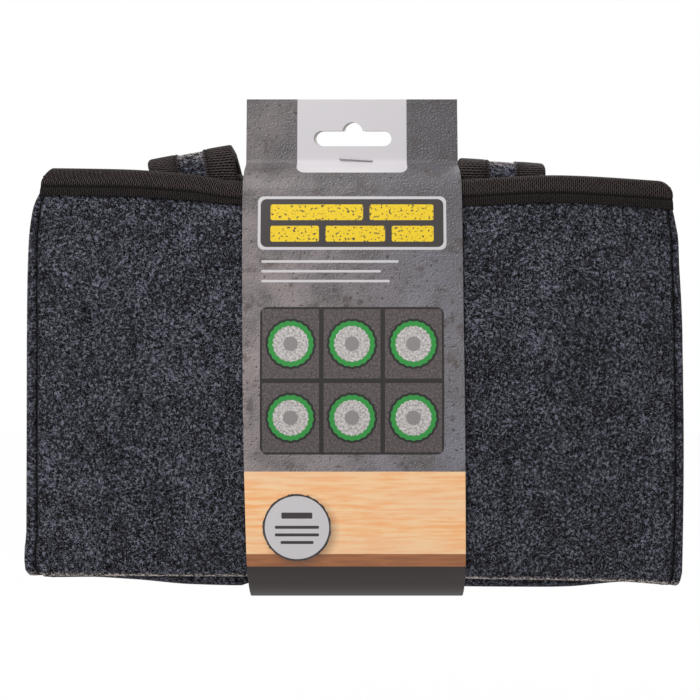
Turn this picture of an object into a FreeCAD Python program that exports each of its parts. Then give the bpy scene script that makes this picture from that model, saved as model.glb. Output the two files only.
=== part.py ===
import FreeCAD, Part
import os
import Sketcher

doc = FreeCAD.newDocument("carrier")

# Driving dimensions in millimetres
sheet = doc.addObject("Spreadsheet::Sheet", "sizes")
DIMENSIONS = {
    # Material thicknesses and clearances
    "felt": "3",
    "thin_felt": "2",
    "strap_tape": "0.6",
    "binding": "0.8",
    "card": "0.5",
    "air_gap": "0.3",
    "hairline": "0.1",
    "fold_chamfer": "1",
    # Layers from the middle of the folded carrier outwards
    "pocket": "=binding + hairline",
    "strap": "=felt + 2 * strap_tape",
    "gusset_out": "=pocket + felt",
    "wall_in": "=gusset_out + strap",
    "wall_out": "=wall_in + felt",
    "binding_out": "=wall_out + binding",
    "card_out": "=binding_out + card",
    "back_loop_in": "=card_out + air_gap",
    "back_loop_out": "=back_loop_in + strap",
    "front_loop_in": "=back_loop_out + air_gap",
    "front_loop_out": "=front_loop_in + strap",
    "depth_shift": "=(card_crown_out - front_loop_out) / 2",
    # Outline of the walls
    "foot_half": "131.5",
    "waist_half": "132.5",
    "rim_half": "128",
    "waist_height": "95",
    "corner_cut": "3",
    "sleeve_half": "43.5",
    "sleeve_width": "=2 * sleeve_half",
    "front_fold": "8",
    "fold_step": "2.5",
    "back_fold": "=front_fold - fold_step",
    "front_rim": "172",
    "rim_step": "4.3",
    "back_rim": "=front_rim - rim_step",
    "front_foot": "=front_fold + fold_chamfer",
    "back_foot": "=back_fold + fold_chamfer",
    "foot_inset": "=foot_half - corner_cut",
    "front_corner": "=front_foot + corner_cut",
    "back_corner": "=back_foot + corner_cut",
    # Folded base
    "base_crease": "87",
    "base_knee": "46",
    "base_inset": "4.5",
    "base_half": "=foot_half - base_inset",
    "base_knee_out": "=wall_in - thin_felt - hairline",
    "base_knee_in": "=base_knee_out - felt",
    "base_lip_in": "=wall_in - felt",
    "base_lip_out": "=wall_out - fold_chamfer",
    "base_lip_turn": "=base_lip_in + fold_chamfer",
    "front_lip_top": "=front_fold + felt",
    "back_lip_top": "=back_fold + felt",
    "base_crease_in": "=base_crease - felt",
    # Folded gussets
    "gusset_inset": "0.5",
    "gusset_edge": "=rim_half - gusset_inset",
    "gusset_seam_width": "3.5",
    "gusset_seam": "=gusset_edge - gusset_seam_width",
    "gusset_step": "3",
    "gusset_knee": "=gusset_seam - gusset_step",
    "gusset_crease": "41",
    "gusset_crease_in": "=gusset_crease + felt",
    "gusset_flange_in": "=wall_in - felt",
    "gusset_knee_out": "=wall_in - thin_felt - hairline",
    "gusset_knee_in": "=gusset_knee_out - felt",
    "gusset_leg_seam": "=gusset_flange_in - binding",
    "gusset_leg_knee": "=gusset_knee_in - binding",
    "gusset_leg_crease": "=gusset_crease_in + binding",
    "gusset_foot": "=front_fold + felt - fold_chamfer",
    "gusset_drop": "0.7",
    "gusset_top": "=back_rim - gusset_drop",
    "gusset_height": "=gusset_top - gusset_foot",
    # Mitred fold where base and gusset meet
    "mitre_rise": "4",
    "mitre_inset": "1",
    "mitre_margin": "23",
    "mitre_in": "=gusset_crease_in",
    "mitre_out": "=base_half - mitre_inset",
    "mitre_low": "=front_fold + mitre_rise",
    "mitre_high": "=base_crease + hairline",
    "mitre_past": "=base_half + mitre_margin",
    "mitre_over": "=base_crease + mitre_margin",
    "gusset_mitre_low": "=mitre_low + air_gap",
    "gusset_mitre_high": "=mitre_high + air_gap",
    "mitre_slope": "=(mitre_high - mitre_low) / (mitre_out - mitre_in)",
    "mitre_lead": "14",
    "gusset_mitre_in": "=mitre_in - mitre_lead",
    "gusset_mitre_top": "=gusset_mitre_high + mitre_lead * mitre_slope",
    # Rim bindings
    "binding_height": "11",
    "binding_half": "=rim_half + hairline",
    "binding_inner_gap": "3.5",
    "binding_inner_half": "=sleeve_half - binding_inner_gap",
    "binding_in": "=wall_in - binding",
    "front_binding_top": "=front_rim + binding",
    "front_binding_foot": "=front_rim - binding_height",
    "back_binding_top": "=back_rim + binding",
    "back_binding_foot": "=back_rim - binding_height",
    "gusset_binding_foot": "=gusset_top - binding_height",
    "gusset_binding_height": "=binding_height + binding",
    # Swell of the front wall and of the card over it
    "swell": "6.4",
    "swell_haunch": "=2 * swell / 3",
    "swell_lap": "6",
    "swell_edge": "=divider_half - swell_lap",
    "swell_run": "33",
    "swell_flat": "=swell_edge - swell_run",
    "swell_rise": "29",
    "swell_crown": "30",
    "swell_drop": "19",
    "swell_low_haunch": "=front_lip_top + swell_rise",
    "swell_low_crown": "=swell_low_haunch + swell_crown",
    "swell_high_haunch": "=front_binding_foot - swell_drop",
    "swell_high_crown": "=swell_high_haunch - swell_crown",
    "wall_haunch_in": "=wall_in + swell_haunch",
    "wall_crown_in": "=wall_in + swell",
    "wall_haunch_out": "=wall_out + swell_haunch",
    "wall_crown_out": "=wall_out + swell",
    "card_haunch_in": "=binding_out + swell_haunch",
    "card_crown_in": "=binding_out + swell",
    "card_haunch_out": "=card_out + swell_haunch",
    "card_crown_out": "=card_out + swell",
    # Dividers
    "divider_inset": "2",
    "divider_half": "=gusset_knee - divider_inset",
    "divider_foot": "=base_knee + divider_inset",
    "divider_drop": "3.7",
    "divider_top": "=sewn_foot - divider_drop",
    "divider_height": "=divider_top - divider_foot",
    "cross_rise": "5",
    "cross_foot": "=base_crease + cross_rise",
    "cross_height": "=divider_top - cross_foot",
    "cross_near": "2",
    "cross_gap": "1",
    "cross_far": "=gusset_crease - cross_gap",
    "cross_near_in": "=cross_near + thin_felt",
    "cross_far_in": "=cross_far - thin_felt",
    "pleat_gap": "0.6",
    "pleat_a": "=thin_felt - wall_in",
    "pleat_b": "=pleat_a + thin_felt",
    "pleat_c": "=pleat_b + pleat_gap",
    "pleat_d": "=pleat_c + thin_felt",
    "pleat_e": "=pleat_d + pleat_gap",
    "pleat_f": "=pleat_e + thin_felt",
    "pleat_g": "=pleat_f + pleat_gap",
    "pleat_h": "=pleat_g + thin_felt",
    # Handle straps
    "strap_gap": "0.4",
    "strap_in": "=sleeve_half + strap_gap + strap_tape",
    "strap_width": "37",
    "strap_out": "=strap_in + strap_width",
    "gusset_margin": "3.5",
    "gusset_flat": "=strap_out + gusset_margin",
    "edge_tape": "12",
    "rim_clearance": "0.2",
    "pivot_height": "=back_binding_top + rim_clearance",
    "sewn_length": "29",
    "sewn_foot": "=pivot_height - sewn_length",
    "inner_tape_in": "=strap_in - strap_tape",
    "inner_tape_out": "=strap_in + edge_tape",
    "outer_tape_in": "=strap_out - edge_tape",
    "outer_tape_out": "=strap_out + strap_tape",
    "loop_top": "=pivot_height - air_gap",
    "loop_lift": "0.6",
    "loop_bend": "=outer_tape_out + loop_lift",
    "leg_length": "=loop_top - loop_bend",
    "back_pivot": "=(wall_in + back_loop_in) / 2",
    "back_fold_in": "=back_loop_in - back_pivot",
    "back_fold_out": "=back_fold_in + strap",
    # Fold of the front handle over everything behind it
    "arch_clearance": "0.5",
    "arch_under": "=pivot_height + back_fold_out + arch_clearance",
    "arch_top": "=arch_under + strap",
    "arch_rise": "6.9",
    "arch_rise_in": "3.5",
    "haunch_drop": "1.7",
    "arch_spring": "=arch_top - arch_rise",
    "arch_spring_in": "=arch_under - arch_rise_in",
    "arch_haunch": "=arch_top - haunch_drop",
    "arch_haunch_in": "=arch_haunch - strap + hairline",
    "arch_side": "2.8",
    "arch_run": "7.5",
    "arch_side_in": "1.6",
    "arch_run_in": "4.4",
    "arch_front_haunch": "=wall_in - arch_side",
    "arch_front_crown": "=wall_in - arch_run",
    "arch_front_haunch_in": "=gusset_out - arch_side_in",
    "arch_front_crown_in": "=arch_run_in - gusset_out",
    "arch_back_haunch": "=front_loop_out - arch_side",
    "arch_back_crown": "=front_loop_out - arch_run",
    "arch_back_haunch_in": "=front_loop_in - arch_side_in",
    "arch_back_crown_in": "=front_loop_in - arch_run_in",
    # Card sleeve
    "header_in": "=hairline / 2",
    "header_out": "=header_in + card",
    "front_shoulder": "=front_binding_top + card",
    "neck_rise": "3.9",
    "neck": "=front_shoulder + neck_rise",
    "neck_in": "=neck - card",
    "header_height": "26.8",
    "header_top": "=neck + header_height",
    "front_shoulder_in": "=front_binding_top + hairline",
    "back_shoulder": "=back_binding_top + card",
    "back_shoulder_in": "=back_binding_top + hairline",
    "hem_lift": "0.5",
    "front_hem": "=front_fold + hem_lift",
    "back_hem": "=back_fold + hem_lift",
    "front_hem_in": "=front_hem + hairline",
    "back_hem_in": "=back_hem + hairline",
    "crease_in": "=card + hairline",
    # Hanging slot and staple
    "slot_length": "32",
    "slot_height": "6.4",
    "slot_rise": "10.2",
    "slot_level": "=neck + slot_rise",
    "slot_round": "=slot_height / 2",
    "slot_straight": "=slot_length - slot_height",
    "notch_round": "4.2",
    "notch_rise": "2.7",
    "notch_level": "=slot_level + notch_rise",
    "tool_reach": "6",
    "tool_depth": "=2 * tool_reach",
    "wire": "0.35",
    "staple_rise": "2",
    "staple_level": "=neck + staple_rise",
    "staple_middle": "1.5",
    "staple_crown": "12.4",
    "staple_hook": "4.6",
    "staple_hole": "=wire + hairline / 2",
    "staple_left": "=staple_middle - staple_crown / 2",
    "staple_right": "=staple_middle + staple_crown / 2",
    "staple_face": "=header_out + wire",
    "staple_leg": "=2 * staple_face",
    "staple_hook_right": "=staple_right - staple_hook",
}
for row, (alias, text) in enumerate(DIMENSIONS.items(), start=1):
    sheet.set(f"A{row}", alias)
    sheet.setAlias(f"B{row}", alias)
    sheet.set(f"B{row}", text)
doc.recompute()


def size(term):
    """The number behind an alias with an optional minus sign."""
    if term.startswith("-"):
        return -float(sheet.get(term[1:]))
    return float(sheet.get(term))


def formula(term):
    """The same term as an expression on the sheet."""
    if term.startswith("-"):
        return f"-sizes.{term[1:]}"
    return f"sizes.{term}"


FINISHED = []


def seat(obj, label):
    """Names a finished sub-part and sets it into the shared frame."""
    obj.Label = label
    obj.setExpression("Placement.Base.y", "sizes.depth_shift")
    FINISHED.append(obj)
    return obj


def sketch_on(body, plane, points, offset=None):
    """A closed outline on one of the body's own planes, each corner tied to the sheet."""
    support = next(f for f in body.Origin.OriginFeatures if f.Role == plane)
    sketch = body.newObject("Sketcher::SketchObject", "outline")
    sketch.AttachmentSupport = [(support, "")]
    sketch.MapMode = "FlatFace"
    if offset is not None:
        sketch.setExpression("AttachmentOffset.Base.z", formula(offset))
    corners = []
    for across, up in points:
        flat = 0.0 if across == "0" else size(across)
        high = 0.0 if up == "0" else size(up)
        corners.append(FreeCAD.Vector(flat, high, 0))
    count = len(corners)
    for i in range(count):
        sketch.addGeometry(Part.LineSegment(corners[i], corners[(i + 1) % count]), False)
    for i in range(count):
        sketch.addConstraint(Sketcher.Constraint("Coincident", i, 2, (i + 1) % count, 1))
    for i, (across, up) in enumerate(points):
        for kind, axis, term in (("DistanceX", -2, across), ("DistanceY", -1, up)):
            if term == "0":
                sketch.addConstraint(Sketcher.Constraint("PointOnObject", i, 1, axis))
                continue
            held = sketch.addConstraint(Sketcher.Constraint(kind, -1, 1, i, 1, size(term)))
            sketch.setExpression(f"Constraints[{held}]", formula(term))
    return sketch


def extrude(body, sketch, length, both_ways=False, reverse=False):
    """Adds the outline to the body as a pad."""
    pad = body.newObject("PartDesign::Pad", "pad")
    pad.Profile = sketch
    pad.setExpression("Length", formula(length))
    pad.Midplane = both_ways
    pad.Reversed = reverse
    return pad


def cut_through(body, sketch):
    """Takes the outline out of the body, both ways through all of it."""
    pocket = body.newObject("PartDesign::Pocket", "pocket")
    pocket.Profile = sketch
    pocket.Type = 1
    pocket.Midplane = True
    return pocket


def mirrored(points, sign):
    """The outline on one side, or turned over to the other for a sign of -1."""
    if sign > 0:
        return points
    turned = []
    for across, up in points:
        turned.append((across[1:] if across.startswith("-") else "-" + across, up))
    return turned


def new_body(label):
    return seat(doc.addObject("PartDesign::Body", "body"), label)


SIDES = {"left": -1, "right": 1}

# Felt wrap: the folded base first, then the two walls that it joins
wrap = new_body("felt_wrap")
base_outline = [
    ("-wall_out", "front_foot"),
    ("-base_lip_out", "front_fold"),
    ("-base_lip_turn", "front_fold"),
    ("-base_lip_in", "front_foot"),
    ("-base_knee_in", "base_knee"),
    ("-pocket", "base_crease_in"),
    ("pocket", "base_crease_in"),
    ("base_knee_in", "base_knee"),
    ("base_lip_in", "back_foot"),
    ("base_lip_turn", "back_fold"),
    ("base_lip_out", "back_fold"),
    ("wall_out", "back_foot"),
    ("wall_out", "back_lip_top"),
    ("wall_in", "back_lip_top"),
    ("base_knee_out", "base_knee"),
    ("gusset_out", "base_crease"),
    ("-gusset_out", "base_crease"),
    ("-base_knee_out", "base_knee"),
    ("-wall_in", "front_lip_top"),
    ("-wall_out", "front_lip_top"),
]
base = extrude(wrap, sketch_on(wrap, "YZ_Plane", base_outline), "base_half", both_ways=True)
base.setExpression("Length", "2 * sizes.base_half")
doc.recompute()
for sign in SIDES.values():
    mitre = [
        ("mitre_in", "mitre_high"),
        ("mitre_out", "mitre_low"),
        ("mitre_past", "mitre_low"),
        ("mitre_past", "mitre_over"),
        ("mitre_in", "mitre_over"),
    ]
    cut_through(wrap, sketch_on(wrap, "XZ_Plane", mirrored(mitre, sign)))
    doc.recompute()


def wall_side(foot, corner, rim):
    """Half-width and height of each corner down the right side of a wall."""
    return [("foot_inset", foot), ("foot_half", corner), ("waist_half", "waist_height"), ("rim_half", rim)]


def swell_line(plane, haunch, crown):
    """Depth and height from the front fold up to the rim, for one face of the swollen front."""
    return [
        (plane, "front_lip_top"),
        (haunch, "swell_low_haunch"),
        (crown, "swell_low_crown"),
        (crown, "swell_high_crown"),
        (haunch, "swell_high_haunch"),
        (plane, "front_binding_foot"),
    ]


def front_section(haunch_in, crown_in, haunch_out, crown_out):
    """The front wall cut from front to back, up its outer face and down its inner one."""
    outer = [("-wall_out", "front_foot")] + swell_line("-wall_out", haunch_out, crown_out)
    inner = [("-wall_in", "front_foot")] + swell_line("-wall_in", haunch_in, crown_in)
    return outer + [("-wall_out", "front_rim"), ("-wall_in", "front_rim")] + inner[::-1]


back_side = wall_side("back_foot", "back_corner", "back_rim")
back_wall = sketch_on(wrap, "XZ_Plane", back_side + mirrored(back_side, -1)[::-1], "-wall_in")
extrude(wrap, back_wall, "felt", reverse=True)
doc.recompute()
front_side = wall_side("front_foot", "front_corner", "front_rim")
for sign in SIDES.values():
    outline = [("swell_edge", "front_foot")] + front_side + [("swell_edge", "front_rim")]
    extrude(wrap, sketch_on(wrap, "XZ_Plane", mirrored(outline, sign), "wall_in"), "felt")
    doc.recompute()
FLAT_FRONT = front_section("-wall_in", "-wall_in", "-wall_out", "-wall_out")
SWOLLEN_FRONT = front_section("-wall_haunch_in", "-wall_crown_in", "-wall_haunch_out", "-wall_crown_out")
sections = [
    sketch_on(wrap, "YZ_Plane", points, place)
    for points, place in (
        (FLAT_FRONT, "-swell_edge"),
        (SWOLLEN_FRONT, "-swell_flat"),
        (SWOLLEN_FRONT, "swell_flat"),
        (FLAT_FRONT, "swell_edge"),
    )
]
doc.recompute()
front_wall = wrap.newObject("PartDesign::AdditiveLoft", "front_wall")
front_wall.Profile = sections[0]
front_wall.Sections = sections[1:]
front_wall.Ruled = True
doc.recompute()


def fold_outline(inner):
    """A gusset's fold seen from above: the front half out and the back half home, for the right side."""
    outer = [
        ("gusset_edge", "wall_in"),
        ("gusset_seam", "wall_in"),
        ("gusset_knee", "gusset_knee_out"),
        ("gusset_flat", "gusset_out"),
        ("gusset_crease", "gusset_out"),
    ]
    front = [(x, "-" + y) for x, y in outer]
    front_inner = [(x, "-" + y) for x, y in inner]
    return front + outer[::-1] + inner + front_inner[::-1]


GUSSET_INNER = [
    ("gusset_edge", "gusset_flange_in"),
    ("gusset_seam", "gusset_flange_in"),
    ("gusset_knee", "gusset_knee_in"),
    ("gusset_flat", "pocket"),
    ("gusset_crease_in", "pocket"),
]
LEG_INNER = [
    ("gusset_seam", "gusset_leg_seam"),
    ("gusset_knee", "gusset_leg_knee"),
    ("gusset_flat", "hairline"),
    ("gusset_leg_crease", "hairline"),
]

# Side gussets, folded inward, with tape over their rims
for side, sign in SIDES.items():
    gusset = new_body(f"{side}_gusset")
    fold = sketch_on(gusset, "XY_Plane", mirrored(fold_outline(GUSSET_INNER), sign), "gusset_foot")
    extrude(gusset, fold, "gusset_height")
    doc.recompute()
    below = [
        ("gusset_mitre_in", "-mitre_low"),
        ("mitre_past", "-mitre_low"),
        ("mitre_past", "gusset_mitre_low"),
        ("mitre_out", "gusset_mitre_low"),
        ("mitre_in", "gusset_mitre_high"),
        ("gusset_mitre_in", "gusset_mitre_top"),
    ]
    cut_through(gusset, sketch_on(gusset, "XZ_Plane", mirrored(below, sign)))
    doc.recompute()
    tape = new_body(f"{side}_gusset_binding")
    leg_outer = GUSSET_INNER[1:]
    leg = (
        [(x, "-" + y) for x, y in leg_outer]
        + leg_outer[::-1]
        + LEG_INNER
        + [(x, "-" + y) for x, y in LEG_INNER][::-1]
    )
    lining = sketch_on(tape, "XY_Plane", mirrored(leg, sign), "gusset_binding_foot")
    extrude(tape, lining, "gusset_binding_height")
    cap = sketch_on(tape, "XY_Plane", mirrored(fold_outline(GUSSET_INNER), sign), "gusset_top")
    extrude(tape, cap, "binding")
    doc.recompute()

# Tape over the front and back rims, with an inner leg between the handles
for label, front, foot, rim, top in (
    ("front_rim_binding", True, "front_binding_foot", "front_rim", "front_binding_top"),
    ("back_rim_binding", False, "back_binding_foot", "back_rim", "back_binding_top"),
):
    tape = new_body(label)
    cover = [
        ("binding_out", foot),
        ("binding_out", top),
        ("wall_in", top),
        ("wall_in", rim),
        ("wall_out", rim),
        ("wall_out", foot),
    ]
    lining = [
        ("wall_in", foot),
        ("wall_in", top),
        ("binding_in", top),
        ("binding_in", foot),
    ]
    for points, half in ((cover, "binding_half"), (lining, "binding_inner_half")):
        side_view = sketch_on(tape, "YZ_Plane", mirrored(points, -1 if front else 1))
        pad = extrude(tape, side_view, half, both_ways=True)
        pad.setExpression("Length", f"2 * sizes.{half}")
    doc.recompute()

# Dividers: the long one flat on the front wall, the cross ones pleated behind it
long_divider = doc.addObject("Part::Box", "long_divider")
long_divider.setExpression("Length", "2 * sizes.divider_half")
long_divider.setExpression("Width", "sizes.thin_felt")
long_divider.setExpression("Height", "sizes.divider_height")
seat(long_divider, "long_divider")
long_divider.setExpression("Placement.Base.x", "-sizes.divider_half")
long_divider.setExpression("Placement.Base.y", "sizes.depth_shift - sizes.wall_in")
long_divider.setExpression("Placement.Base.z", "sizes.divider_foot")
for side, sign in SIDES.items():
    cross = new_body(f"{side}_cross_divider")
    pleats = [
        ("cross_near", "pleat_a"),
        ("cross_far", "pleat_a"),
        ("cross_far", "pleat_d"),
        ("cross_near_in", "pleat_d"),
        ("cross_near_in", "pleat_e"),
        ("cross_far", "pleat_e"),
        ("cross_far", "pleat_h"),
        ("cross_near", "pleat_h"),
        ("cross_near", "pleat_g"),
        ("cross_far_in", "pleat_g"),
        ("cross_far_in", "pleat_f"),
        ("cross_near", "pleat_f"),
        ("cross_near", "pleat_c"),
        ("cross_far_in", "pleat_c"),
        ("cross_far_in", "pleat_b"),
        ("cross_near", "pleat_b"),
    ]
    extrude(cross, sketch_on(cross, "XY_Plane", mirrored(pleats, sign), "cross_foot"), "cross_height")
    doc.recompute()


def box(name, x, y, z, length, width, height):
    """A block from its low corner, every term an expression on the sheet."""
    made = doc.addObject("Part::Box", name)
    for term, text in (("Length", length), ("Width", width), ("Height", height)):
        made.setExpression(term, text)
    for axis, text in zip("xyz", (x, y, z)):
        made.setExpression(f"Placement.Base.{axis}", text)
    return made


def rod(name, radius, length, x, y, z, turn, angle=None):
    """A round bar, or a slice of one, turned so that it lies along another axis."""
    made = doc.addObject("Part::Cylinder", name)
    made.setExpression("Radius", radius)
    made.setExpression("Height", length)
    if angle is not None:
        made.Angle = angle
    made.Placement = FreeCAD.Placement(FreeCAD.Vector(), turn)
    for axis, text in zip("xyz", (x, y, z)):
        made.setExpression(f"Placement.Base.{axis}", text)
    return made


def fuse(name, shapes):
    made = doc.addObject("Part::MultiFuse", name)
    made.Shapes = shapes
    return made


def cut(name, base_shape, tool):
    made = doc.addObject("Part::Cut", name)
    made.Base = base_shape
    made.Tool = tool
    return made


HALF_TURN = 180
ALONG_Y = FreeCAD.Rotation(FreeCAD.Vector(1, 0, 0), -90)
ALONG_X = FreeCAD.Rotation(FreeCAD.Vector(0, 1, 0), 90)
UPPER_HALF_ALONG_X = FreeCAD.Rotation(FreeCAD.Vector(0, 0, 1), FreeCAD.Vector(1, 0, 0)).multiply(
    FreeCAD.Rotation(FreeCAD.Vector(0, 0, 1), 90)
)


def loop(name, inner, outer, start, depth):
    """Two legs and the half ring that joins them, from a starting depth."""
    width = f"sizes.{outer} - sizes.{inner}"
    legs = [
        box(f"{name}_{side}_leg", low_x, start, "sizes.loop_bend", width, depth, "sizes.leg_length")
        for side, low_x in (("right", f"sizes.{inner}"), ("left", f"-sizes.{outer}"))
    ]
    discs = [
        rod(f"{name}_{term}", f"sizes.{term}", depth, "0", start, "sizes.loop_bend", ALONG_Y, HALF_TURN)
        for term in (outer, inner)
    ]
    return fuse(f"{name}_loop", legs + [cut(f"{name}_bend", *discs)])


# Handles: sewn-in ends, folds over the rim, and the hanging loops with tape round both edges
for handle, loop_start, end_start in (
    ("front_handle", "sizes.front_loop_in", "-sizes.wall_in"),
    ("back_handle", "sizes.back_loop_in", "sizes.gusset_out"),
):
    felt_start = f"{loop_start} + sizes.strap_tape"
    seat(loop(f"{handle}_felt", "strap_in", "strap_out", felt_start, "sizes.felt"), f"{handle}_felt")
    for edge, inner, outer in (
        ("inner", "inner_tape_in", "inner_tape_out"),
        ("outer", "outer_tape_in", "outer_tape_out"),
    ):
        band = loop(f"{handle}_{edge}", inner, outer, loop_start, "sizes.strap")
        core = loop(f"{handle}_{edge}_core", "strap_in", "strap_out", felt_start, "sizes.felt")
        seat(cut(f"{handle}_{edge}_tape", band, core), f"{handle}_{edge}_tape")
    for side, sign in SIDES.items():
        low_x = "sizes.strap_in" if sign > 0 else "-sizes.strap_out"
        end = box(
            f"{handle}_{side}_end",
            low_x,
            "0",
            "sizes.sewn_foot",
            "sizes.strap_width",
            "sizes.strap",
            "sizes.sewn_length",
        )
        seat(end, f"{handle}_{side}_end")
        end.setExpression("Placement.Base.y", f"sizes.depth_shift + {end_start}")
        if handle == "back_handle":
            rounds = [
                rod(
                    f"{handle}_{side}_{term}",
                    f"sizes.{term}",
                    "sizes.strap_width",
                    low_x,
                    "sizes.back_pivot",
                    "sizes.pivot_height",
                    UPPER_HALF_ALONG_X,
                    HALF_TURN,
                )
                for term in ("back_fold_out", "back_fold_in")
            ]
            seat(cut(f"{handle}_{side}_fold", *rounds), f"{handle}_{side}_fold")
            continue
        arch = new_body(f"{handle}_{side}_fold")
        arch_outline = [
            ("-wall_in", "pivot_height"),
            ("-wall_in", "arch_spring"),
            ("-arch_front_haunch", "arch_haunch"),
            ("-arch_front_crown", "arch_top"),
            ("arch_back_crown", "arch_top"),
            ("arch_back_haunch", "arch_haunch"),
            ("front_loop_out", "arch_spring"),
            ("front_loop_out", "pivot_height"),
            ("front_loop_in", "pivot_height"),
            ("front_loop_in", "arch_spring_in"),
            ("arch_back_haunch_in", "arch_haunch_in"),
            ("arch_back_crown_in", "arch_under"),
            ("arch_front_crown_in", "arch_under"),
            ("-arch_front_haunch_in", "arch_haunch_in"),
            ("-gusset_out", "arch_spring_in"),
            ("-gusset_out", "pivot_height"),
        ]
        start = "strap_in" if sign > 0 else "-strap_in"
        extrude(arch, sketch_on(arch, "YZ_Plane", arch_outline, start), "strap_width", reverse=sign < 0)
        doc.recompute()

# Card sleeve: one strip from header to header, creased under the carrier
strip = doc.addObject("PartDesign::Body", "strip")
strip_outline = [
    ("-header_out", "header_top"),
    ("-header_out", "neck"),
    ("-card_out", "front_shoulder"),
    *swell_line("-card_out", "-card_haunch_out", "-card_crown_out")[::-1],
    ("-card_out", "front_hem"),
    ("0", "0"),
    ("card_out", "back_hem"),
    ("card_out", "back_shoulder"),
    ("header_out", "neck"),
    ("header_out", "header_top"),
    ("header_in", "header_top"),
    ("header_in", "neck_in"),
    ("binding_out", "back_shoulder_in"),
    ("binding_out", "back_hem_in"),
    ("0", "crease_in"),
    ("-binding_out", "front_hem_in"),
    *swell_line("-binding_out", "-card_haunch_in", "-card_crown_in"),
    ("-binding_out", "front_shoulder_in"),
    ("-header_in", "neck_in"),
    ("-header_in", "header_top"),
]
extrude(strip, sketch_on(strip, "YZ_Plane", strip_outline), "sleeve_width", both_ways=True)
slot_tools = [
    box(
        "slot_middle",
        "-sizes.slot_straight / 2",
        "-sizes.tool_reach",
        "sizes.slot_level - sizes.slot_round",
        "sizes.slot_straight",
        "sizes.tool_depth",
        "sizes.slot_height",
    ),
    rod(
        "notch",
        "sizes.notch_round",
        "sizes.tool_depth",
        "0",
        "-sizes.tool_reach",
        "sizes.notch_level",
        ALONG_Y,
    ),
]
for side, sign in SIDES.items():
    middle = f"{sign} * sizes.slot_straight / 2"
    slot_tools.append(
        rod(
            f"slot_{side}",
            "sizes.slot_round",
            "sizes.tool_depth",
            middle,
            "-sizes.tool_reach",
            "sizes.slot_level",
            ALONG_Y,
        )
    )
    slot_tools.append(
        rod(
            f"staple_hole_{side}",
            "sizes.staple_hole",
            "sizes.tool_depth",
            f"sizes.staple_{side}",
            "-sizes.tool_reach",
            "sizes.staple_level",
            ALONG_Y,
        )
    )
seat(cut("sleeve", strip, fuse("slot_tools", slot_tools)), "card_sleeve")

# Staple: crown in front, two legs through the card, ends bent over behind
wires = [
    rod(
        "staple_crown_wire",
        "sizes.wire",
        "sizes.staple_crown",
        "sizes.staple_left",
        "-sizes.staple_face",
        "sizes.staple_level",
        ALONG_X,
    )
]
for side, hook in (("left", "sizes.staple_left"), ("right", "sizes.staple_hook_right")):
    wires.append(
        rod(
            f"staple_{side}_leg",
            "sizes.wire",
            "sizes.staple_leg",
            f"sizes.staple_{side}",
            "-sizes.staple_face",
            "sizes.staple_level",
            ALONG_Y,
        )
    )
    wires.append(
        rod(
            f"staple_{side}_hook",
            "sizes.wire",
            "sizes.staple_hook",
            hook,
            "sizes.staple_face",
            "sizes.staple_level",
            ALONG_X,
        )
    )
seat(fuse("staple", wires), "sleeve_staple")
doc.recompute()

# Checks and export
for obj in doc.Objects:
    if "Invalid" in obj.State or "Error" in obj.State:
        raise RuntimeError(f"{obj.Label} did not build: {obj.State}")
os.makedirs("parts", exist_ok=True)
for obj in FINISHED:
    if obj.Shape.isNull() or not obj.Shape.isValid():
        raise RuntimeError(f"{obj.Label} has no valid shape")
    if len(obj.Shape.Solids) != 1:
        raise RuntimeError(f"{obj.Label} has {len(obj.Shape.Solids)} solids")
    obj.Shape.exportStep(f"parts/{obj.Label}.step")
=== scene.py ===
import math

import bmesh
import bpy
import mathutils
import numpy as np
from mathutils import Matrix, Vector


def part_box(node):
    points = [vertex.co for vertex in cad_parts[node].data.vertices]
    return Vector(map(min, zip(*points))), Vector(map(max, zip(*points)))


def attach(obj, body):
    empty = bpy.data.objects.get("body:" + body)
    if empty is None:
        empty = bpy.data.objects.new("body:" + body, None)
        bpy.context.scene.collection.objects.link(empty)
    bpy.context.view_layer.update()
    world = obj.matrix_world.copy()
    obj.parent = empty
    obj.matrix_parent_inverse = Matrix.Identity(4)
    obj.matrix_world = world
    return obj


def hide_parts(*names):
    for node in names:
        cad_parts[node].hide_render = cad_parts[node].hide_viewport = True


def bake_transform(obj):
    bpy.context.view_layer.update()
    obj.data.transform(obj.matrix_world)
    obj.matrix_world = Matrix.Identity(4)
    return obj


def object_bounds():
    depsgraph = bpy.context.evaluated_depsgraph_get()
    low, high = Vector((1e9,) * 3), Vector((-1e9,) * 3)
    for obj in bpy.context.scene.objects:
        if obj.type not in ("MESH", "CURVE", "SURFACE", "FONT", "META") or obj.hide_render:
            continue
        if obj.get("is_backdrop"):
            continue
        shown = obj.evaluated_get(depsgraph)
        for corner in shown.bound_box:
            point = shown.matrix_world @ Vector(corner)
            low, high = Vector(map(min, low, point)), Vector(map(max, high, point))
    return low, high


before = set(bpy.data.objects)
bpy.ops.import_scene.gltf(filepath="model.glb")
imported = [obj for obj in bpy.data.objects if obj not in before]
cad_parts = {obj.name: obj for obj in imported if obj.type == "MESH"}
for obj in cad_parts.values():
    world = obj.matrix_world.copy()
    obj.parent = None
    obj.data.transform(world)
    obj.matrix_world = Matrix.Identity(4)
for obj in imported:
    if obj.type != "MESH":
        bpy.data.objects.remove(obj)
cad_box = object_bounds()
MM = 0.001

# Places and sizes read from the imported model


def corners(node):
    """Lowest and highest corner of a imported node."""
    low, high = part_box(node)
    return np.array(low), np.array(high)


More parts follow.
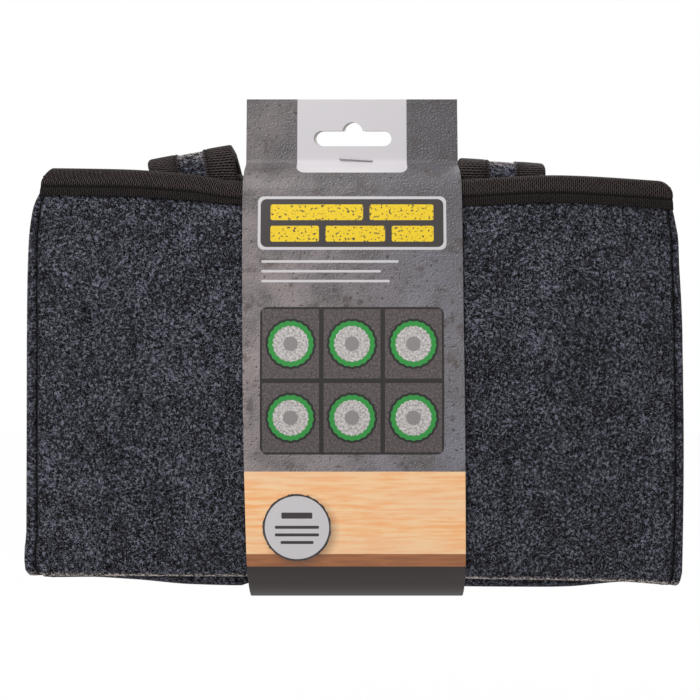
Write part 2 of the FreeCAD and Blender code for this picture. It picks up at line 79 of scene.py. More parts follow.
wrap_low, wrap_high = corners("felt_wrap")
gusset_low, gusset_high = corners("right_gusset")
front_tape_low, front_tape_high = corners("front_rim_binding")
_, back_tape_high = corners("back_rim_binding")
_, gusset_tape_high = corners("right_gusset_binding")
divider_low, divider_high = corners("long_divider")
cross_low, cross_high = corners("right_cross_divider")
_, sleeve_high = corners("card_sleeve")
loop_felt_low, loop_felt_high = corners("front_handle_felt")
sewn_low, sewn_high = corners("front_handle_right_end")

FELT = loop_felt_high[1] - loop_felt_low[1]
STRAP = sewn_high[1] - sewn_low[1]
THIN_FELT = divider_high[1] - divider_low[1]
TAPE = back_tape_high[1] - wrap_high[1]
MIDDLE = (gusset_low[1] + gusset_high[1]) / 2
WALL = wrap_high[1] - MIDDLE - FELT / 2
HALF_WIDTH = wrap_high[0]
FRONT_RIM = front_tape_high[2]
BACK_RIM = back_tape_high[2]
BACK_FOLD = wrap_low[2]

# Sizes that only the looks need
FOLD_STEP = 2.5 * MM
FRONT_FOLD = BACK_FOLD + FOLD_STEP
EDGE = 1.4 * MM
SWELL = 6.5 * MM
SEAM_WIDTH = 0.8 * MM
SEAM_DEPTH = 0.8 * MM
RIPPLE = 0.35 * MM
RIPPLE_ACROSS = (17 * MM, -41 * MM)
RIPPLE_UP = (29 * MM, 13 * MM)
RIPPLE_STARTS = (0, 2)
FOLD_WEAR = 1.1 * MM
FOLD_PALE = 2.4
FRAYED = 0.9 * MM
FRAYED_PALE = 0.4
COLUMN_STEP = 2.6 * MM
ROW_STEP = 3 * MM
FINE_STEP = 0.45 * MM
FINE_BAND = 8 * MM
BASE_KNEE = 46 * MM
BASE_CREASE = 85.5 * MM
RIM_SWAY = 4 * MM
FOLD_SWAY = 4 * MM

# Shape tables: place along the carrier from -1 on the left to 1 on the right, then the share of a sway
FRONT_RIM_SHARES = (
    (-1, 0.4), (-0.7, 0.25), (-0.5, -0.2), (-0.33, -0.95), (0, -0.9), (0.33, -0.75), (0.6, -0.35),
    (1, -1.05),
)
BACK_RIM_SHARES = ((-1, 0.2), (-0.6, 0), (-0.4, -0.5), (0, -0.4), (0.5, 0), (1, 0.1))
FRONT_FOLD_SHARES = ((-1, 0.6), (0, 0.45), (0.4, 0.25), (0.85, -0.05), (0.95, -0.3), (1, -0.5))
BACK_FOLD_SHARES = (
    (-1, 0.1), (-0.85, 0.15), (-0.7, -0.1), (-0.5, -0.65), (-0.36, -0.75), (-0.32, 0),
    (0.32, 0), (0.36, -0.85), (0.65, -0.9), (0.85, -0.4), (1, -0.1),
)

# Height from the fold, 0, to the rim, 1, then the share of the half width there
LEFT_EDGE_SHARES = (
    (0, 0.982), (0.015, 0.992), (0.05, 0.992), (0.1, 0.986), (0.7, 0.982), (0.82, 0.978), (0.9, 0.966),
    (0.935, 0.95), (0.96, 0.93), (1, 0.9),
)
RIGHT_EDGE_SHARES = (
    (0, 0.992), (0.03, 1), (0.33, 1.005), (0.635, 1), (0.73, 0.995), (0.8, 0.99), (0.855, 0.988),
    (0.905, 0.978), (0.935, 0.97), (0.96, 0.96), (1, 0.945),
)
LEFT_SEAM_INSET = 4.8 * MM
RIGHT_SEAM_INSET = 4 * MM
SEAM_INSET_SHARES = ((0, 1), (0.55, 1), (0.8, 0.84), (0.88, 0.76), (0.94, 0.55), (1, 0.3))

# Height from the tape's foot, -1, to its top, 0, then the share of the half width at its ends
TAPE_LEFT_SHARES = ((-1, 0.942), (-0.5, 0.937), (-0.25, 0.926), (0, 0.907))
TAPE_RIGHT_SHARES = ((-1, 0.969), (0, 0.967))
# Place along the rim, then the share of the tape's height
TAPE_LEG_SHARES = ((-1, 0.94), (-0.6, 0.95), (-0.33, 0.85), (0.33, 0.96), (1, 0.97))
EDGE_SHARES = np.array((0, 0.06, 0.25, 0.55, 1, 1.2))


# Geometry helpers


def smooth_table(shares):
    """A smooth curve through (place, value) pairs, level past both ends."""
    places, values = np.array(shares, float).T
    rates = np.diff(values) / np.diff(places)
    before, after = rates[:-1], rates[1:]
    shared = 2 * before * after / np.where(before * after > 0, before + after, 1)
    slopes = np.concatenate([rates[:1], np.where(before * after > 0, shared, 0), rates[-1:]])

    def value(at):
        at = np.clip(at, places[0], places[-1])
        i = np.clip(np.searchsorted(places, at, side="right") - 1, 0, len(places) - 2)
        gap = places[i + 1] - places[i]
        t = (at - places[i]) / gap
        start = (1 + 2 * t) * (1 - t) ** 2 * values[i] + t * (1 - t) ** 2 * gap * slopes[i]
        stop = t**2 * (3 - 2 * t) * values[i + 1] + t**2 * (t - 1) * gap * slopes[i + 1]
        return start + stop

    return value


def clamp(value):
    """The value held between 0 and 1."""
    return np.clip(value, 0, 1)


def ease(value):
    """A smooth step from 0 to 1."""
    held = clamp(value)
    return held**2 * (3 - 2 * held)


def hump(distance, width):
    """1 at no distance, falling away smoothly within about a width."""
    return np.exp(-((distance / width) ** 2))


def grid(*parts):
    """Coordinates of a grid of points, from arrays that spread over each other."""
    return np.stack(np.broadcast_arrays(*parts), axis=-1)


def unit(vectors):
    """The same directions with length 1."""
    return vectors / np.linalg.norm(vectors, axis=-1, keepdims=True)


def directions(points):
    """Unit direction of a path at each of its points."""
    return unit(np.gradient(points, axis=0))


def run_lengths(points):
    """Distance along a path at each of its points."""
    steps = np.linalg.norm(np.diff(points, axis=0), axis=1)
    return np.concatenate([[0], np.cumsum(steps)])


def divide(points, step):
    """The same path with its long runs divided at a step."""
    pieces = [points[:1]]
    for a, b in zip(points, points[1:]):
        count = max(1, math.ceil(np.linalg.norm(b - a) / step))
        pieces.append(a + (b - a) * np.linspace(0, 1, count + 1)[1:, None])
    return np.concatenate(pieces)


def bend(points, radius, step, arc_points=7):
    """A path through corner points, its corners rounded and its runs divided."""
    points = np.array(points, float)
    path = [points[0]]
    radii = np.broadcast_to(radius, len(points) - 2)
    for before, here, after, radius in zip(points, points[1:], points[2:], radii):
        back, ahead = unit(before - here), unit(after - here)
        half = math.acos(np.clip(back @ ahead, -1, 1)) / 2
        turn = math.pi - 2 * half
        centre = here + unit(back + ahead) * radius / math.sin(half)
        first = here + back * radius / math.tan(half) - centre
        last = here + ahead * radius / math.tan(half) - centre
        for t in np.linspace(0, turn, arc_points):
            path.append(centre + (math.sin(turn - t) * first + math.sin(t) * last) / math.sin(turn))
    path.append(points[-1])
    return divide(np.array(path), step)


def with_edges(path, edge):
    """The path with extra points near both ends, and the thickness share at each for a half-round edge."""
    run = run_lengths(path)
    lead = edge * EDGE_SHARES
    places = np.unique(np.concatenate([run, lead, run[-1] - lead]))
    moved = np.stack([np.interp(places, run, path[:, k]) for k in range(path.shape[1])], axis=1)
    reach = clamp(np.minimum(places, run[-1] - places) / edge)
    return moved, np.sqrt(1 - (1 - reach) ** 2)


def column_shares(length, edge, step, fine=None, band=0):
    """Shares from 0 to 1 across a length, close at the edges, with the edge thickness at each."""
    inner = np.linspace(band, length - band, max(2, round((length - 2 * band) / step)))
    if fine is not None:
        lead = np.arange(0, band, fine)
        inner = np.concatenate([lead, inner, length - lead[::-1]])
    places, share = with_edges(np.unique(np.concatenate([[0], inner, [length]]))[:, None], edge)
    return places[:, 0] / length, share


def add_object(name, data):
    """A new object in the scene."""
    made = bpy.data.objects.new(name, data)
    bpy.context.collection.objects.link(made)
    return made


def mesh_object(name, vertices, faces, uvs, materials, material_index=None, marks=None):
    """A smooth mesh with a map in metres and named marks on its points."""
    mesh = bpy.data.meshes.new(name)
    mesh.from_pydata([tuple(v) for v in vertices], [], [tuple(f) for f in faces])
    layer = mesh.uv_layers.new(name="UVMap")
    loops = np.empty(len(mesh.loops), np.int32)
    mesh.loops.foreach_get("vertex_index", loops)
    layer.data.foreach_set("uv", np.asarray(uvs, np.float32)[loops].ravel())
    for label, values in (marks or {}).items():
        attribute = mesh.attributes.new(label, "FLOAT", "POINT")
        attribute.data.foreach_set("value", np.asarray(values, np.float32).ravel())
    for material in materials:
        mesh.materials.append(material)
    if material_index is not None:
        mesh.polygons.foreach_set("material_index", np.asarray(material_index, np.int32))
    mesh.polygons.foreach_set("use_smooth", np.ones(len(mesh.polygons), bool))
    mesh.validate()
    shape = bmesh.new()
    shape.from_mesh(mesh)
    bmesh.ops.recalc_face_normals(shape, faces=shape.faces)
    shape.to_mesh(mesh)
    shape.free()
    return add_object(name, mesh)


def slab(name, middle, half, materials, marks=None, row_materials=None):
    """A sheet: a grid of middle points thickened both ways, closed where it thins to nothing at its edges."""
    rows, columns, _ = middle.shape
    normal = np.cross(np.gradient(middle, axis=0), np.gradient(middle, axis=1))
    normal *= half[..., None] / np.maximum(np.linalg.norm(normal, axis=2, keepdims=True), 1e-12)
    border = np.zeros((rows, columns), bool)
    border[[0, -1], :] = True
    border[:, [0, -1]] = True
    near = np.arange(rows * columns).reshape(rows, columns)
    far = near.copy()
    far[~border] = rows * columns + np.arange(np.count_nonzero(~border))
    vertices = np.concatenate([(middle + normal).reshape(-1, 3), (middle - normal)[~border]])
    along, across = run_lengths(middle[:, columns // 2]), run_lengths(middle[rows // 2])
    grid_uv = grid(along[:, None], across[None, :])
    uvs = np.concatenate([grid_uv.reshape(-1, 2), grid_uv[~border]])
    faces = []
    for index in (near, far):
        quads = np.stack([index[:-1, :-1], index[1:, :-1], index[1:, 1:], index[:-1, 1:]], axis=2)
        faces.append(quads.reshape(-1, 4))
    marks = {label: np.concatenate([v.reshape(-1), v[~border]]) for label, v in (marks or {}).items()}
    index = None
    if row_materials is not None:
        near_rows, far_rows = row_materials
        index = np.concatenate([np.repeat(near_rows, columns - 1), np.repeat(far_rows, columns - 1)])
    return mesh_object(name, vertices, np.concatenate(faces), uvs, materials, index, marks)


def tube_faces(count, around):
    """Faces of a tube made of rings of points, with both ends capped."""
    index = np.arange(count * around).reshape(count, around)
    turned = np.roll(index, -1, axis=1)
    quads = np.stack([index[:-1], index[1:], turned[1:], turned[:-1]], axis=2).reshape(-1, 4)
    return [tuple(face) for face in (*quads, index[0], index[-1])]


def sweep(name, centre, across, out, section, materials, zones=None, marks=None):
    """A closed outline carried along a path, with both ends capped."""
    count, around = len(centre), len(section)
    vertices = centre[:, None] + across[:, None] * section[:, :1] + out[:, None] * section[:, 1:]
    faces = tube_faces(count, around)
    uvs = grid(run_lengths(centre)[:, None], run_lengths(section)[None, :]).reshape(-1, 2)
    material_index = None
    if zones is not None:
        material_index = list(np.tile(zones, count - 1)) + [0, 0]
    return mesh_object(name, vertices.reshape(-1, 3), faces, uvs, materials, material_index, marks)


# Materials


def srgb(red, green, blue):
    """A colour as read off a screen, as the linear colour that the shaders take."""
    shares = [level / 255 for level in (red, green, blue)]
    linear = [s / 12.92 if s <= 0.04045 else ((s + 0.055) / 1.055) ** 2.4 for s in shares]
    return (*linear, 1)


def add_node(tree, kind, inputs, output=0, **settings):
    """A new shader node with its settings, its inputs linked or set, and one of its outputs."""
    made = tree.nodes.new("ShaderNode" + kind)
    for label, value in settings.items():
        setattr(made, label, value)
    for label, value in inputs.items():
        if isinstance(value, bpy.types.NodeSocket):
            tree.links.new(value, made.inputs[label])
        else:
            made.inputs[label].default_value = value
    return made.outputs[output]


class Paint:
    """One procedural material and the short calls that wire its nodes."""

    def __init__(self, name, **shader_values):
        self.material = bpy.data.materials.new(name)
        self.material.use_nodes = True
        self.tree = self.material.node_tree
        self.shader = self.tree.nodes["Principled BSDF"]
        for label, value in shader_values.items():
            self.shader.inputs[label.replace("_", " ")].default_value = value
        coordinates = self.tree.nodes.new("ShaderNodeTexCoord")
        self.place = coordinates.outputs["Object"]
        self.map = coordinates.outputs["UV"]
        self.tone = None

    def node(self, kind, inputs, output=0, **settings):
        return add_node(self.tree, kind, inputs, output, **settings)

    def math(self, operation, *values):
        return self.node("Math", dict(enumerate(values)), operation=operation)

    def plus(self, *values):
        return self.math("ADD", *values)

    def minus(self, *values):
        return self.math("SUBTRACT", *values)

    def times(self, *values):
        return self.math("MULTIPLY", *values)

    def below(self, *values):
        return self.math("LESS_THAN", *values)

    def vector(self, operation, *values):
        return self.node("VectorMath", dict(enumerate(values)), operation=operation)

    def distance(self, at, centre=(0, 0, 0)):
        return self.node("VectorMath", {0: at, 1: centre}, "Value", operation="DISTANCE")

    def axis(self, at, label):
        return self.node("SeparateXYZ", {0: at}, label)

    def noise(self, scale, detail=2, roughness=0.5, distortion=0, at=None):
        values = {"Scale": scale, "Detail": detail, "Roughness": roughness, "Distortion": distortion}
        return self.node("TexNoise", {"Vector": at or self.place, **values}, "Fac")

    def mix(self, share, low, high):
        return self.node("Mix", {0: share, 6: low, 7: high}, 2, data_type="RGBA")

    def spread(self, value, low, high, share=1):
        """The value stretched so that low becomes 0 and high becomes the share."""
        inputs = {0: value, 1: low, 2: high, 4: share}
        return self.node("MapRange", inputs, interpolation_type="SMOOTHSTEP")

    def mark(self, label):
        return self.node("Attribute", {}, "Fac", attribute_name=label)

    def feed(self, label, socket):
        self.tree.links.new(socket, self.shader.inputs[label])

    def over(self, mask, tint):
        """Lay a tint over the colour so far, where the mask says."""
        self.tone = self.mix(mask, self.tone, tint)

    def finish(self, height=None, strength=0, distance=0):
        """The material with its colour and, from a height, its relief."""
        self.feed("Base Color", self.tone)
        if height is not None:
            relief = {"Height": height, "Strength": strength, "Distance": distance}
            self.feed("Normal", self.node("Bump", relief))
        return self.material


FELT_DARK = srgb(2, 2, 3)
FELT_MID = srgb(17, 14, 15)
FELT_LIGHT = srgb(114, 116, 130)
FELT_HAIR = srgb(144, 148, 163)
FELT_WORN = srgb(200, 188, 182)
CLOUD_SCALE = 70
SPECK_SCALE = 900
HAIR_SCALE = 1500
STRAND_SCALES = (330, 520)
STRAND_WIDTH = 0.012
STRAND_SHARE = 0.5
FELT_RELIEF = 0.45 * MM


def felt_paint(name):
    """Melange felt: dark and pale fibres in fine specks, paler where a fold is worn, darker along a seam."""
    paint = Paint(name, Roughness=0.95, Sheen_Weight=0.04, Sheen_Roughness=0.6, Specular_IOR_Level=0.03)
    clouds = paint.noise(CLOUD_SCALE)
    specks = paint.noise(SPECK_SCALE, detail=1, distortion=0.8)
    hairs = paint.noise(HAIR_SCALE, roughness=0.6, distortion=1.5)
    level = paint.plus(paint.times(specks, 0.4), paint.times(hairs, 0.5))
    level = paint.plus(level, paint.times(clouds, 0.1))
    paint.tone = paint.mix(paint.spread(level, 0.44, 0.5), FELT_DARK, FELT_MID)
    paint.over(paint.spread(level, 0.507, 0.607), FELT_LIGHT)
    for scale in STRAND_SCALES:
        strands = paint.noise(scale, detail=1, roughness=0.6, distortion=2.2)
        from_strand = paint.math("ABSOLUTE", paint.minus(strands, 0.5))
        paint.over(paint.spread(from_strand, STRAND_WIDTH, 0, STRAND_SHARE), FELT_HAIR)
    patchy = paint.times(paint.spread(hairs, 0.38, 0.58), paint.spread(specks, 0.4, 0.58))
    paint.over(paint.times(paint.mark("wear"), patchy), FELT_WORN)
    paint.over(paint.mark("shade"), FELT_DARK)
    return paint.finish(level, 0.7, FELT_RELIEF)


TAPE_RIB = srgb(78, 69, 67)
TAPE_GAP = srgb(7, 6, 6)
TAPE_SHADE = srgb(8, 7, 7)
RIM_RIB = 0.82 * MM
STRAP_RIB = 0.86 * MM
TAPE_RELIEF = 0.2 * MM
LINT_SCALE = 1300
WOBBLE_SCALE = 240


def tape_paint(name, length_first, pitch):
    """Twilled tape: slanted floats that step from rib to rib, uneven in height, dark along its stitching."""
    paint = Paint(name, Roughness=0.8, Sheen_Weight=0.05, Sheen_Roughness=0.4, Specular_IOR_Level=0.08)
    labels = ("X", "Y") if length_first else ("Y", "X")
    length, width = (paint.axis(paint.map, label) for label in labels)
    wobble = paint.times(paint.noise(WOBBLE_SCALE), 3)
    turn = 2 * math.pi / pitch
    rib = paint.math("SINE", paint.plus(paint.times(length, turn), wobble))
    rib_count = paint.math("FLOOR", paint.math("DIVIDE", length, pitch))
    stepped = paint.plus(paint.times(width, turn / 2), paint.times(rib_count, math.pi))
    float_wave = paint.math("SINE", paint.plus(stepped, wobble))
    weave = paint.plus(rib, paint.times(float_wave, 0.6))
    lint = paint.noise(LINT_SCALE, roughness=0.6)
    height = paint.plus(weave, paint.times(lint, 3))
    paint.tone = paint.mix(paint.spread(height, 1, 2.5), TAPE_GAP, TAPE_RIB)
    paint.over(paint.mark("shade"), TAPE_SHADE)
    return paint.finish(height, 0.6, TAPE_RELIEF)


TWIST_SCALE = 3500
DRAWN_SCALE = 2600
FLECK_SCALE = 1800
FINE_RELIEF = 0.05 * MM


def thread_paint():
    """Dark sewing thread with a twist along it."""
    paint = Paint("thread", Roughness=0.8, Specular_IOR_Level=0.1)
    twist = paint.noise(TWIST_SCALE, detail=1)
    paint.tone = paint.mix(twist, srgb(6, 6, 6), srgb(26, 24, 24))
    return paint.finish(twist, 0.4, FINE_RELIEF)


def wire_paint():
    """Bright staple wire with fine drawing marks."""
    paint = Paint("staple_wire", Metallic=1)
    marks = paint.noise(DRAWN_SCALE, detail=3)
    paint.tone = paint.mix(marks, srgb(150, 147, 148), srgb(205, 203, 203))
    paint.feed("Roughness", paint.spread(marks, -0.9, 1.6))
    return paint.finish()


def card_paint():
    """Bare inside of the sleeve: pale pressed card with flecks."""
    paint = Paint("card_inside", Roughness=0.85, Specular_IOR_Level=0.25)
    flecks = paint.noise(FLECK_SCALE, detail=4, roughness=0.7)
    paint.tone = paint.mix(paint.spread(flecks, 0.3, 0.7), srgb(188, 183, 180), srgb(216, 212, 209))
    return paint.finish(flecks, 0.25, FINE_RELIEF)


# Print on the sleeve: plain fields and simple shapes, placed by shares of the card's half width and height
FIELD_SCALE = 55
GRAIN_SCALE = 1100
STAIN_SCALE = 130
PIT_SCALE = 620
STUCCO_SCALE = 1250
STUCCO_SHIFT = 0.24 * MM
COAT_SCALE = 500
COAT_RELIEF = 0.1 * MM
PRINT_WHITE = srgb(206, 202, 205)
PRINT_DARK = srgb(58, 52, 52)
SLEEVE_HALF = sleeve_high[0]
SLEEVE_HEIGHT = sleeve_high[2]
TAB_SHARES = ((0, 1), (0.517, 0.1545))
TAB_ROUND = 3.3 * MM
PLATE_SHARES = ((0, 0.742), (0.83, 0.047))
PLATE_ROUND = 2.4 * MM
PLATE_BORDER = 1.1 * MM
BLOCK_SHARES = (
    ((-0.32, 0.763), (0.42, 0.0155)), ((0.45, 0.763), (0.29, 0.0155)), ((-0.52, 0.721), (0.22, 0.0155)),
    ((0.03, 0.721), (0.27, 0.0155)), ((0.55, 0.721), (0.19, 0.0155)),
)
BLOCK_ROUND = 0.8 * MM
RUB_SCALE = 900
RULE_SHARES = (
    ((-0.2, 0.667), (0.62, 0.0024)), ((-0.28, 0.648), (0.54, 0.0024)), ((-0.24, 0.629), (0.58, 0.0024)),
)
RULE_ROUND = 0.3 * MM
CELL_SHARES = ((0, 0.437), (0.83, 0.142))
CELL_ROUND = 3 * MM
CELLS_ACROSS = 3
CELLS_UP = 2
CELL_WALL = 0.9 * MM
RING_SHARES = (0.41, 0.37, 0.29, 0.12)
CAP_TEETH = 21
CAP_TOOTH = 0.16 * MM
STREAK_SCALE = 620
BOARD_SCALE = 70
WOOD_STRETCH = (0.09, 1, 1)
WOOD_TOP = 0.262
WOOD_EDGE_TOP = 0.1
HEM_TOP = 0.0745
BADGE_SHARES = (-0.5, 0.152)
BADGE_RADIUS = 13.5 * MM
BADGE_RIM = 0.8 * MM
BADGE_ROUGH = 1.6 * MM
BADGE_SCALE = 420
BADGE_CAST = 3 * MM
BAR_SHARES = (
    ((-0.5, 0.176), (0.14, 0.006)), ((-0.5, 0.153), (0.2, 0.003)), ((-0.5, 0.138), (0.2, 0.003)),
    ((-0.5, 0.123), (0.15, 0.003)),
)
BAR_ROUND = 0.4 * MM


def card_point(shares):
    """A place on the card from shares of its half width and height."""
    return np.array((shares[0] * SLEEVE_HALF, shares[1] * SLEEVE_HEIGHT, 0))


def plate(paint, shares, radius, border=0):
    """1 inside a rounded rectangle on the card, grown by a border."""
    centre, half = map(card_point, shares)
    inset = half + border - radius
    inset[2] = 0
    offset = paint.vector("ABSOLUTE", paint.vector("SUBTRACT", paint.place, centre))
    beyond = paint.vector("MAXIMUM", paint.vector("SUBTRACT", offset, inset), (0, 0, 0))
    return paint.below(paint.distance(beyond), radius)


def lay(paint, shapes, radius, tint, border=0):
    """Rounded rectangles printed over the colour so far."""
    for shape in shapes:
        paint.over(plate(paint, shape, radius, border), tint)


def print_paint(name, front):
    """Coated card printed as a concrete field with a dark hem, and on the front with its shapes."""
    paint = Paint(name, Roughness=0.5, Specular_IOR_Level=0.4)
    across, up = paint.axis(paint.place, "X"), paint.axis(paint.place, "Z")
    paint.place = paint.node("CombineXYZ", {"X": across, "Y": up})
    share = paint.math("DIVIDE", up, SLEEVE_HEIGHT)
    clouds = paint.noise(FIELD_SCALE, detail=4, roughness=0.6)
    stains = paint.noise(STAIN_SCALE, detail=5, roughness=0.7)
    pits = paint.noise(PIT_SCALE, detail=1, roughness=0.6)
    beside = paint.vector("ADD", paint.place, (STUCCO_SHIFT, -STUCCO_SHIFT, 0))
    levels = [paint.noise(STUCCO_SCALE, roughness=0.6, at=at) for at in (paint.place, beside)]
    relief = paint.minus(*levels)
    side = paint.spread(across, -SLEEVE_HALF, SLEEVE_HALF)
    paint.tone = paint.mix(side, srgb(153, 141, 141), srgb(119, 118, 128))
    paint.over(paint.spread(clouds, 0.35, 0.72), srgb(96, 92, 93))
    dusk = paint.plus(paint.times(side, 0.22), 0.56)
    paint.over(paint.times(paint.spread(share, 0.5, 0.95), dusk), srgb(62, 61, 64))
    for turn, tint in ((1, srgb(170, 162, 160)), (-1, srgb(58, 54, 55))):
        paint.over(paint.spread(relief, 0, 0.3 * turn, 0.7), tint)
    paint.over(paint.spread(stains, 0.52, 0.68, 0.8), srgb(78, 68, 65))
    paint.over(paint.spread(pits, 0.65, 0.71, 0.8), srgb(44, 39, 38))
    if front:
        front_shapes(paint, share)
    paint.over(paint.below(share, HEM_TOP), srgb(48, 39, 37))
    return paint.finish(paint.noise(COAT_SCALE), 0.04, COAT_RELIEF)


def wood_band(paint, share):
    """A pale board with a darker front edge."""
    stretched = paint.vector("MULTIPLY", paint.place, WOOD_STRETCH)
    streaks = paint.noise(STREAK_SCALE, detail=4, roughness=0.6, at=stretched)
    boards = paint.noise(BOARD_SCALE, detail=1, at=stretched)
    wood = paint.mix(paint.spread(streaks, 0.35, 0.68), srgb(255, 212, 162), srgb(252, 178, 114))
    wood = paint.mix(paint.spread(boards, 0.4, 0.65, 0.5), wood, srgb(249, 207, 166))
    edge_wood = paint.mix(paint.spread(streaks, 0.3, 0.7), srgb(176, 113, 72), srgb(146, 92, 58))
    paint.over(paint.below(share, WOOD_TOP), wood)
    paint.over(paint.below(share, WOOD_EDGE_TOP), edge_wood)


def cell_plan(paint):
    """A plan of the compartments, with a round cap in each."""
    grain = paint.noise(GRAIN_SCALE, detail=3, roughness=0.7)
    centre, half = map(card_point, CELL_SHARES)
    cell = np.array((2 * half[0] / CELLS_ACROSS, 2 * half[1] / CELLS_UP, 1))
    in_cells = paint.vector("DIVIDE", paint.vector("SUBTRACT", paint.place, centre - half), cell)
    local = paint.vector("SUBTRACT", paint.vector("FRACTION", in_cells), (0.5, 0.5, 0))
    local = paint.vector("MULTIPLY", local, cell * (1, 1, 0))
    inner = (cell / 2 - CELL_WALL) * (1, 1, 0)
    past = paint.vector("SUBTRACT", paint.vector("ABSOLUTE", local), inner)
    wall = paint.math("MAXIMUM", paint.axis(past, "X"), paint.axis(past, "Y"))
    tweed = paint.mix(paint.spread(grain, 0.35, 0.7), srgb(66, 58, 58), srgb(104, 95, 95))
    plan = paint.mix(paint.math("GREATER_THAN", wall, 0), tweed, srgb(34, 29, 29))
    angle = paint.math("ARCTAN2", paint.axis(local, "Y"), paint.axis(local, "X"))
    teeth = paint.times(paint.math("SINE", paint.times(angle, CAP_TEETH)), CAP_TOOTH)
    toothed = paint.plus(paint.distance(local), teeth)
    foil = paint.mix(paint.spread(grain, 0.35, 0.65), srgb(150, 145, 143), srgb(214, 209, 207))
    for radius, ring in zip(RING_SHARES, (srgb(24, 30, 24), srgb(46, 142, 62), foil, srgb(138, 134, 133))):
        plan = paint.mix(paint.below(toothed, radius * cell[0]), plan, ring)
    paint.over(plate(paint, CELL_SHARES, CELL_ROUND), plan)


def round_label(paint):
    """A pale disc with a rough dark rim and bars on it, over its own soft shade."""
    badge = card_point(BADGE_SHARES)
    shade_place = badge + (BADGE_CAST / 2, -BADGE_CAST / 2, 0)
    cast = paint.distance(paint.place, shade_place)
    paint.over(paint.spread(cast, BADGE_RADIUS + BADGE_CAST, BADGE_RADIUS - BADGE_CAST, 0.6), PRINT_DARK)
    from_badge = paint.distance(paint.place, badge)
    rough = paint.times(paint.noise(BADGE_SCALE, detail=3, roughness=0.8), BADGE_ROUGH)
    paint.over(paint.below(paint.plus(from_badge, rough), BADGE_RADIUS + BADGE_RIM), PRINT_DARK)
    paint.over(paint.below(from_badge, BADGE_RADIUS - BADGE_RIM), PRINT_WHITE)
    lay(paint, BAR_SHARES, BAR_ROUND, PRINT_DARK)


def front_shapes(paint, share):
    """Wood band, hanging tab, plate with yellow blocks, rules, plan of the compartments and a round label."""
    wood_band(paint, share)
    lay(paint, [TAB_SHARES], TAB_ROUND, PRINT_WHITE)
    lay(paint, [PLATE_SHARES], PLATE_ROUND, PRINT_WHITE, PLATE_BORDER)
    lay(paint, [PLATE_SHARES], PLATE_ROUND, PRINT_DARK)
    rubbed = paint.spread(paint.noise(RUB_SCALE), 0.56, 0.66)
    lay(paint, BLOCK_SHARES, BLOCK_ROUND, paint.mix(rubbed, srgb(240, 205, 40), PRINT_DARK))
    lay(paint, RULE_SHARES, RULE_ROUND, PRINT_WHITE)
    cell_plan(paint)
    round_label(paint)


felt = felt_paint("melange_felt")
thin_felt = felt_paint("divider_felt")
rim_tape = tape_paint("rim_tape", length_first=False, pitch=RIM_RIB)
strap_tape = tape_paint("strap_tape", length_first=True, pitch=STRAP_RIB)
thread = thread_paint()
wire = wire_paint()
card = card_paint()
front_print = print_paint("front_print", front=True)
back_print = print_paint("back_print", front=False)


# Felt wrap: front wall, folded base and back wall in one strip

front_rim = smooth_table(FRONT_RIM_SHARES)
back_rim = smooth_table(BACK_RIM_SHARES)
front_fold = smooth_table(FRONT_FOLD_SHARES)
back_fold = smooth_table(BACK_FOLD_SHARES)
left_edge = smooth_table(LEFT_EDGE_SHARES)
right_edge = smooth_table(RIGHT_EDGE_SHARES)
seam_inset = smooth_table(SEAM_INSET_SHARES)
LIP = WALL - FELT
KNEE_SHARE = 0.68
CREST_SHARE = 0.364
BASE_HALF = 127 * MM
CREST_HALF = 44 * MM
SWELL_POWER = 0.7
SEAM_SHADE = 1.6
FELT_BEND = FELT / 2.05
FRONT_LOW = FRONT_FOLD + FELT / 2
BACK_LOW = BACK_FOLD + FELT / 2
FRONT_TOP = FRONT_RIM - TAPE
BACK_TOP = BACK_RIM - TAPE


def height_share(z, fold, rim):
    return clamp((z - fold) / (rim - fold))


def ripple(x, z):
    """Slow unevenness of a felt wall."""
    waves = zip(RIPPLE_ACROSS, RIPPLE_UP, RIPPLE_STARTS)
    return RIPPLE * sum(np.sin(x / across + z / up + start) for across, up, start in waves)


def swell(x, z):
    """How far the front wall stands forward of its plane, most in its middle."""
    across = 1 - np.minimum(np.abs(x) / HALF_WIDTH, 1) ** 4
    up = np.sin(math.pi * height_share(z, FRONT_LOW, FRONT_TOP)) ** SWELL_POWER
    return across * up * (SWELL + ripple(x, z))


def wall_x(share, height):
    """Place across a wall: share runs from -1 at the left edge to 1 at the right."""
    return HALF_WIDTH * share * np.where(share < 0, left_edge(height), right_edge(height))


def wall_ends(front):
    """Lowest and highest point of a wall's felt."""
    return np.where(front, FRONT_LOW, BACK_LOW), np.where(front, FRONT_TOP, BACK_TOP)


def fold_sway(place, front):
    """How far a wall's fold stands above or below its level."""
    return FOLD_SWAY * np.where(front, front_fold(place), back_fold(place))


def wall_place(x, z, front, out):
    """A point on the front or back wall: out is its distance outward from the felt's middle."""
    place = x / HALF_WIDTH
    height = height_share(z, *wall_ends(front))
    rim = RIM_SWAY * np.where(front, front_rim(place), back_rim(place))
    y = np.where(front, -1, 1) * (WALL + out) - np.where(front, swell(x, z), 0)
    return grid(x, MIDDLE + y, z + rim * height + fold_sway(place, front) * (1 - height))


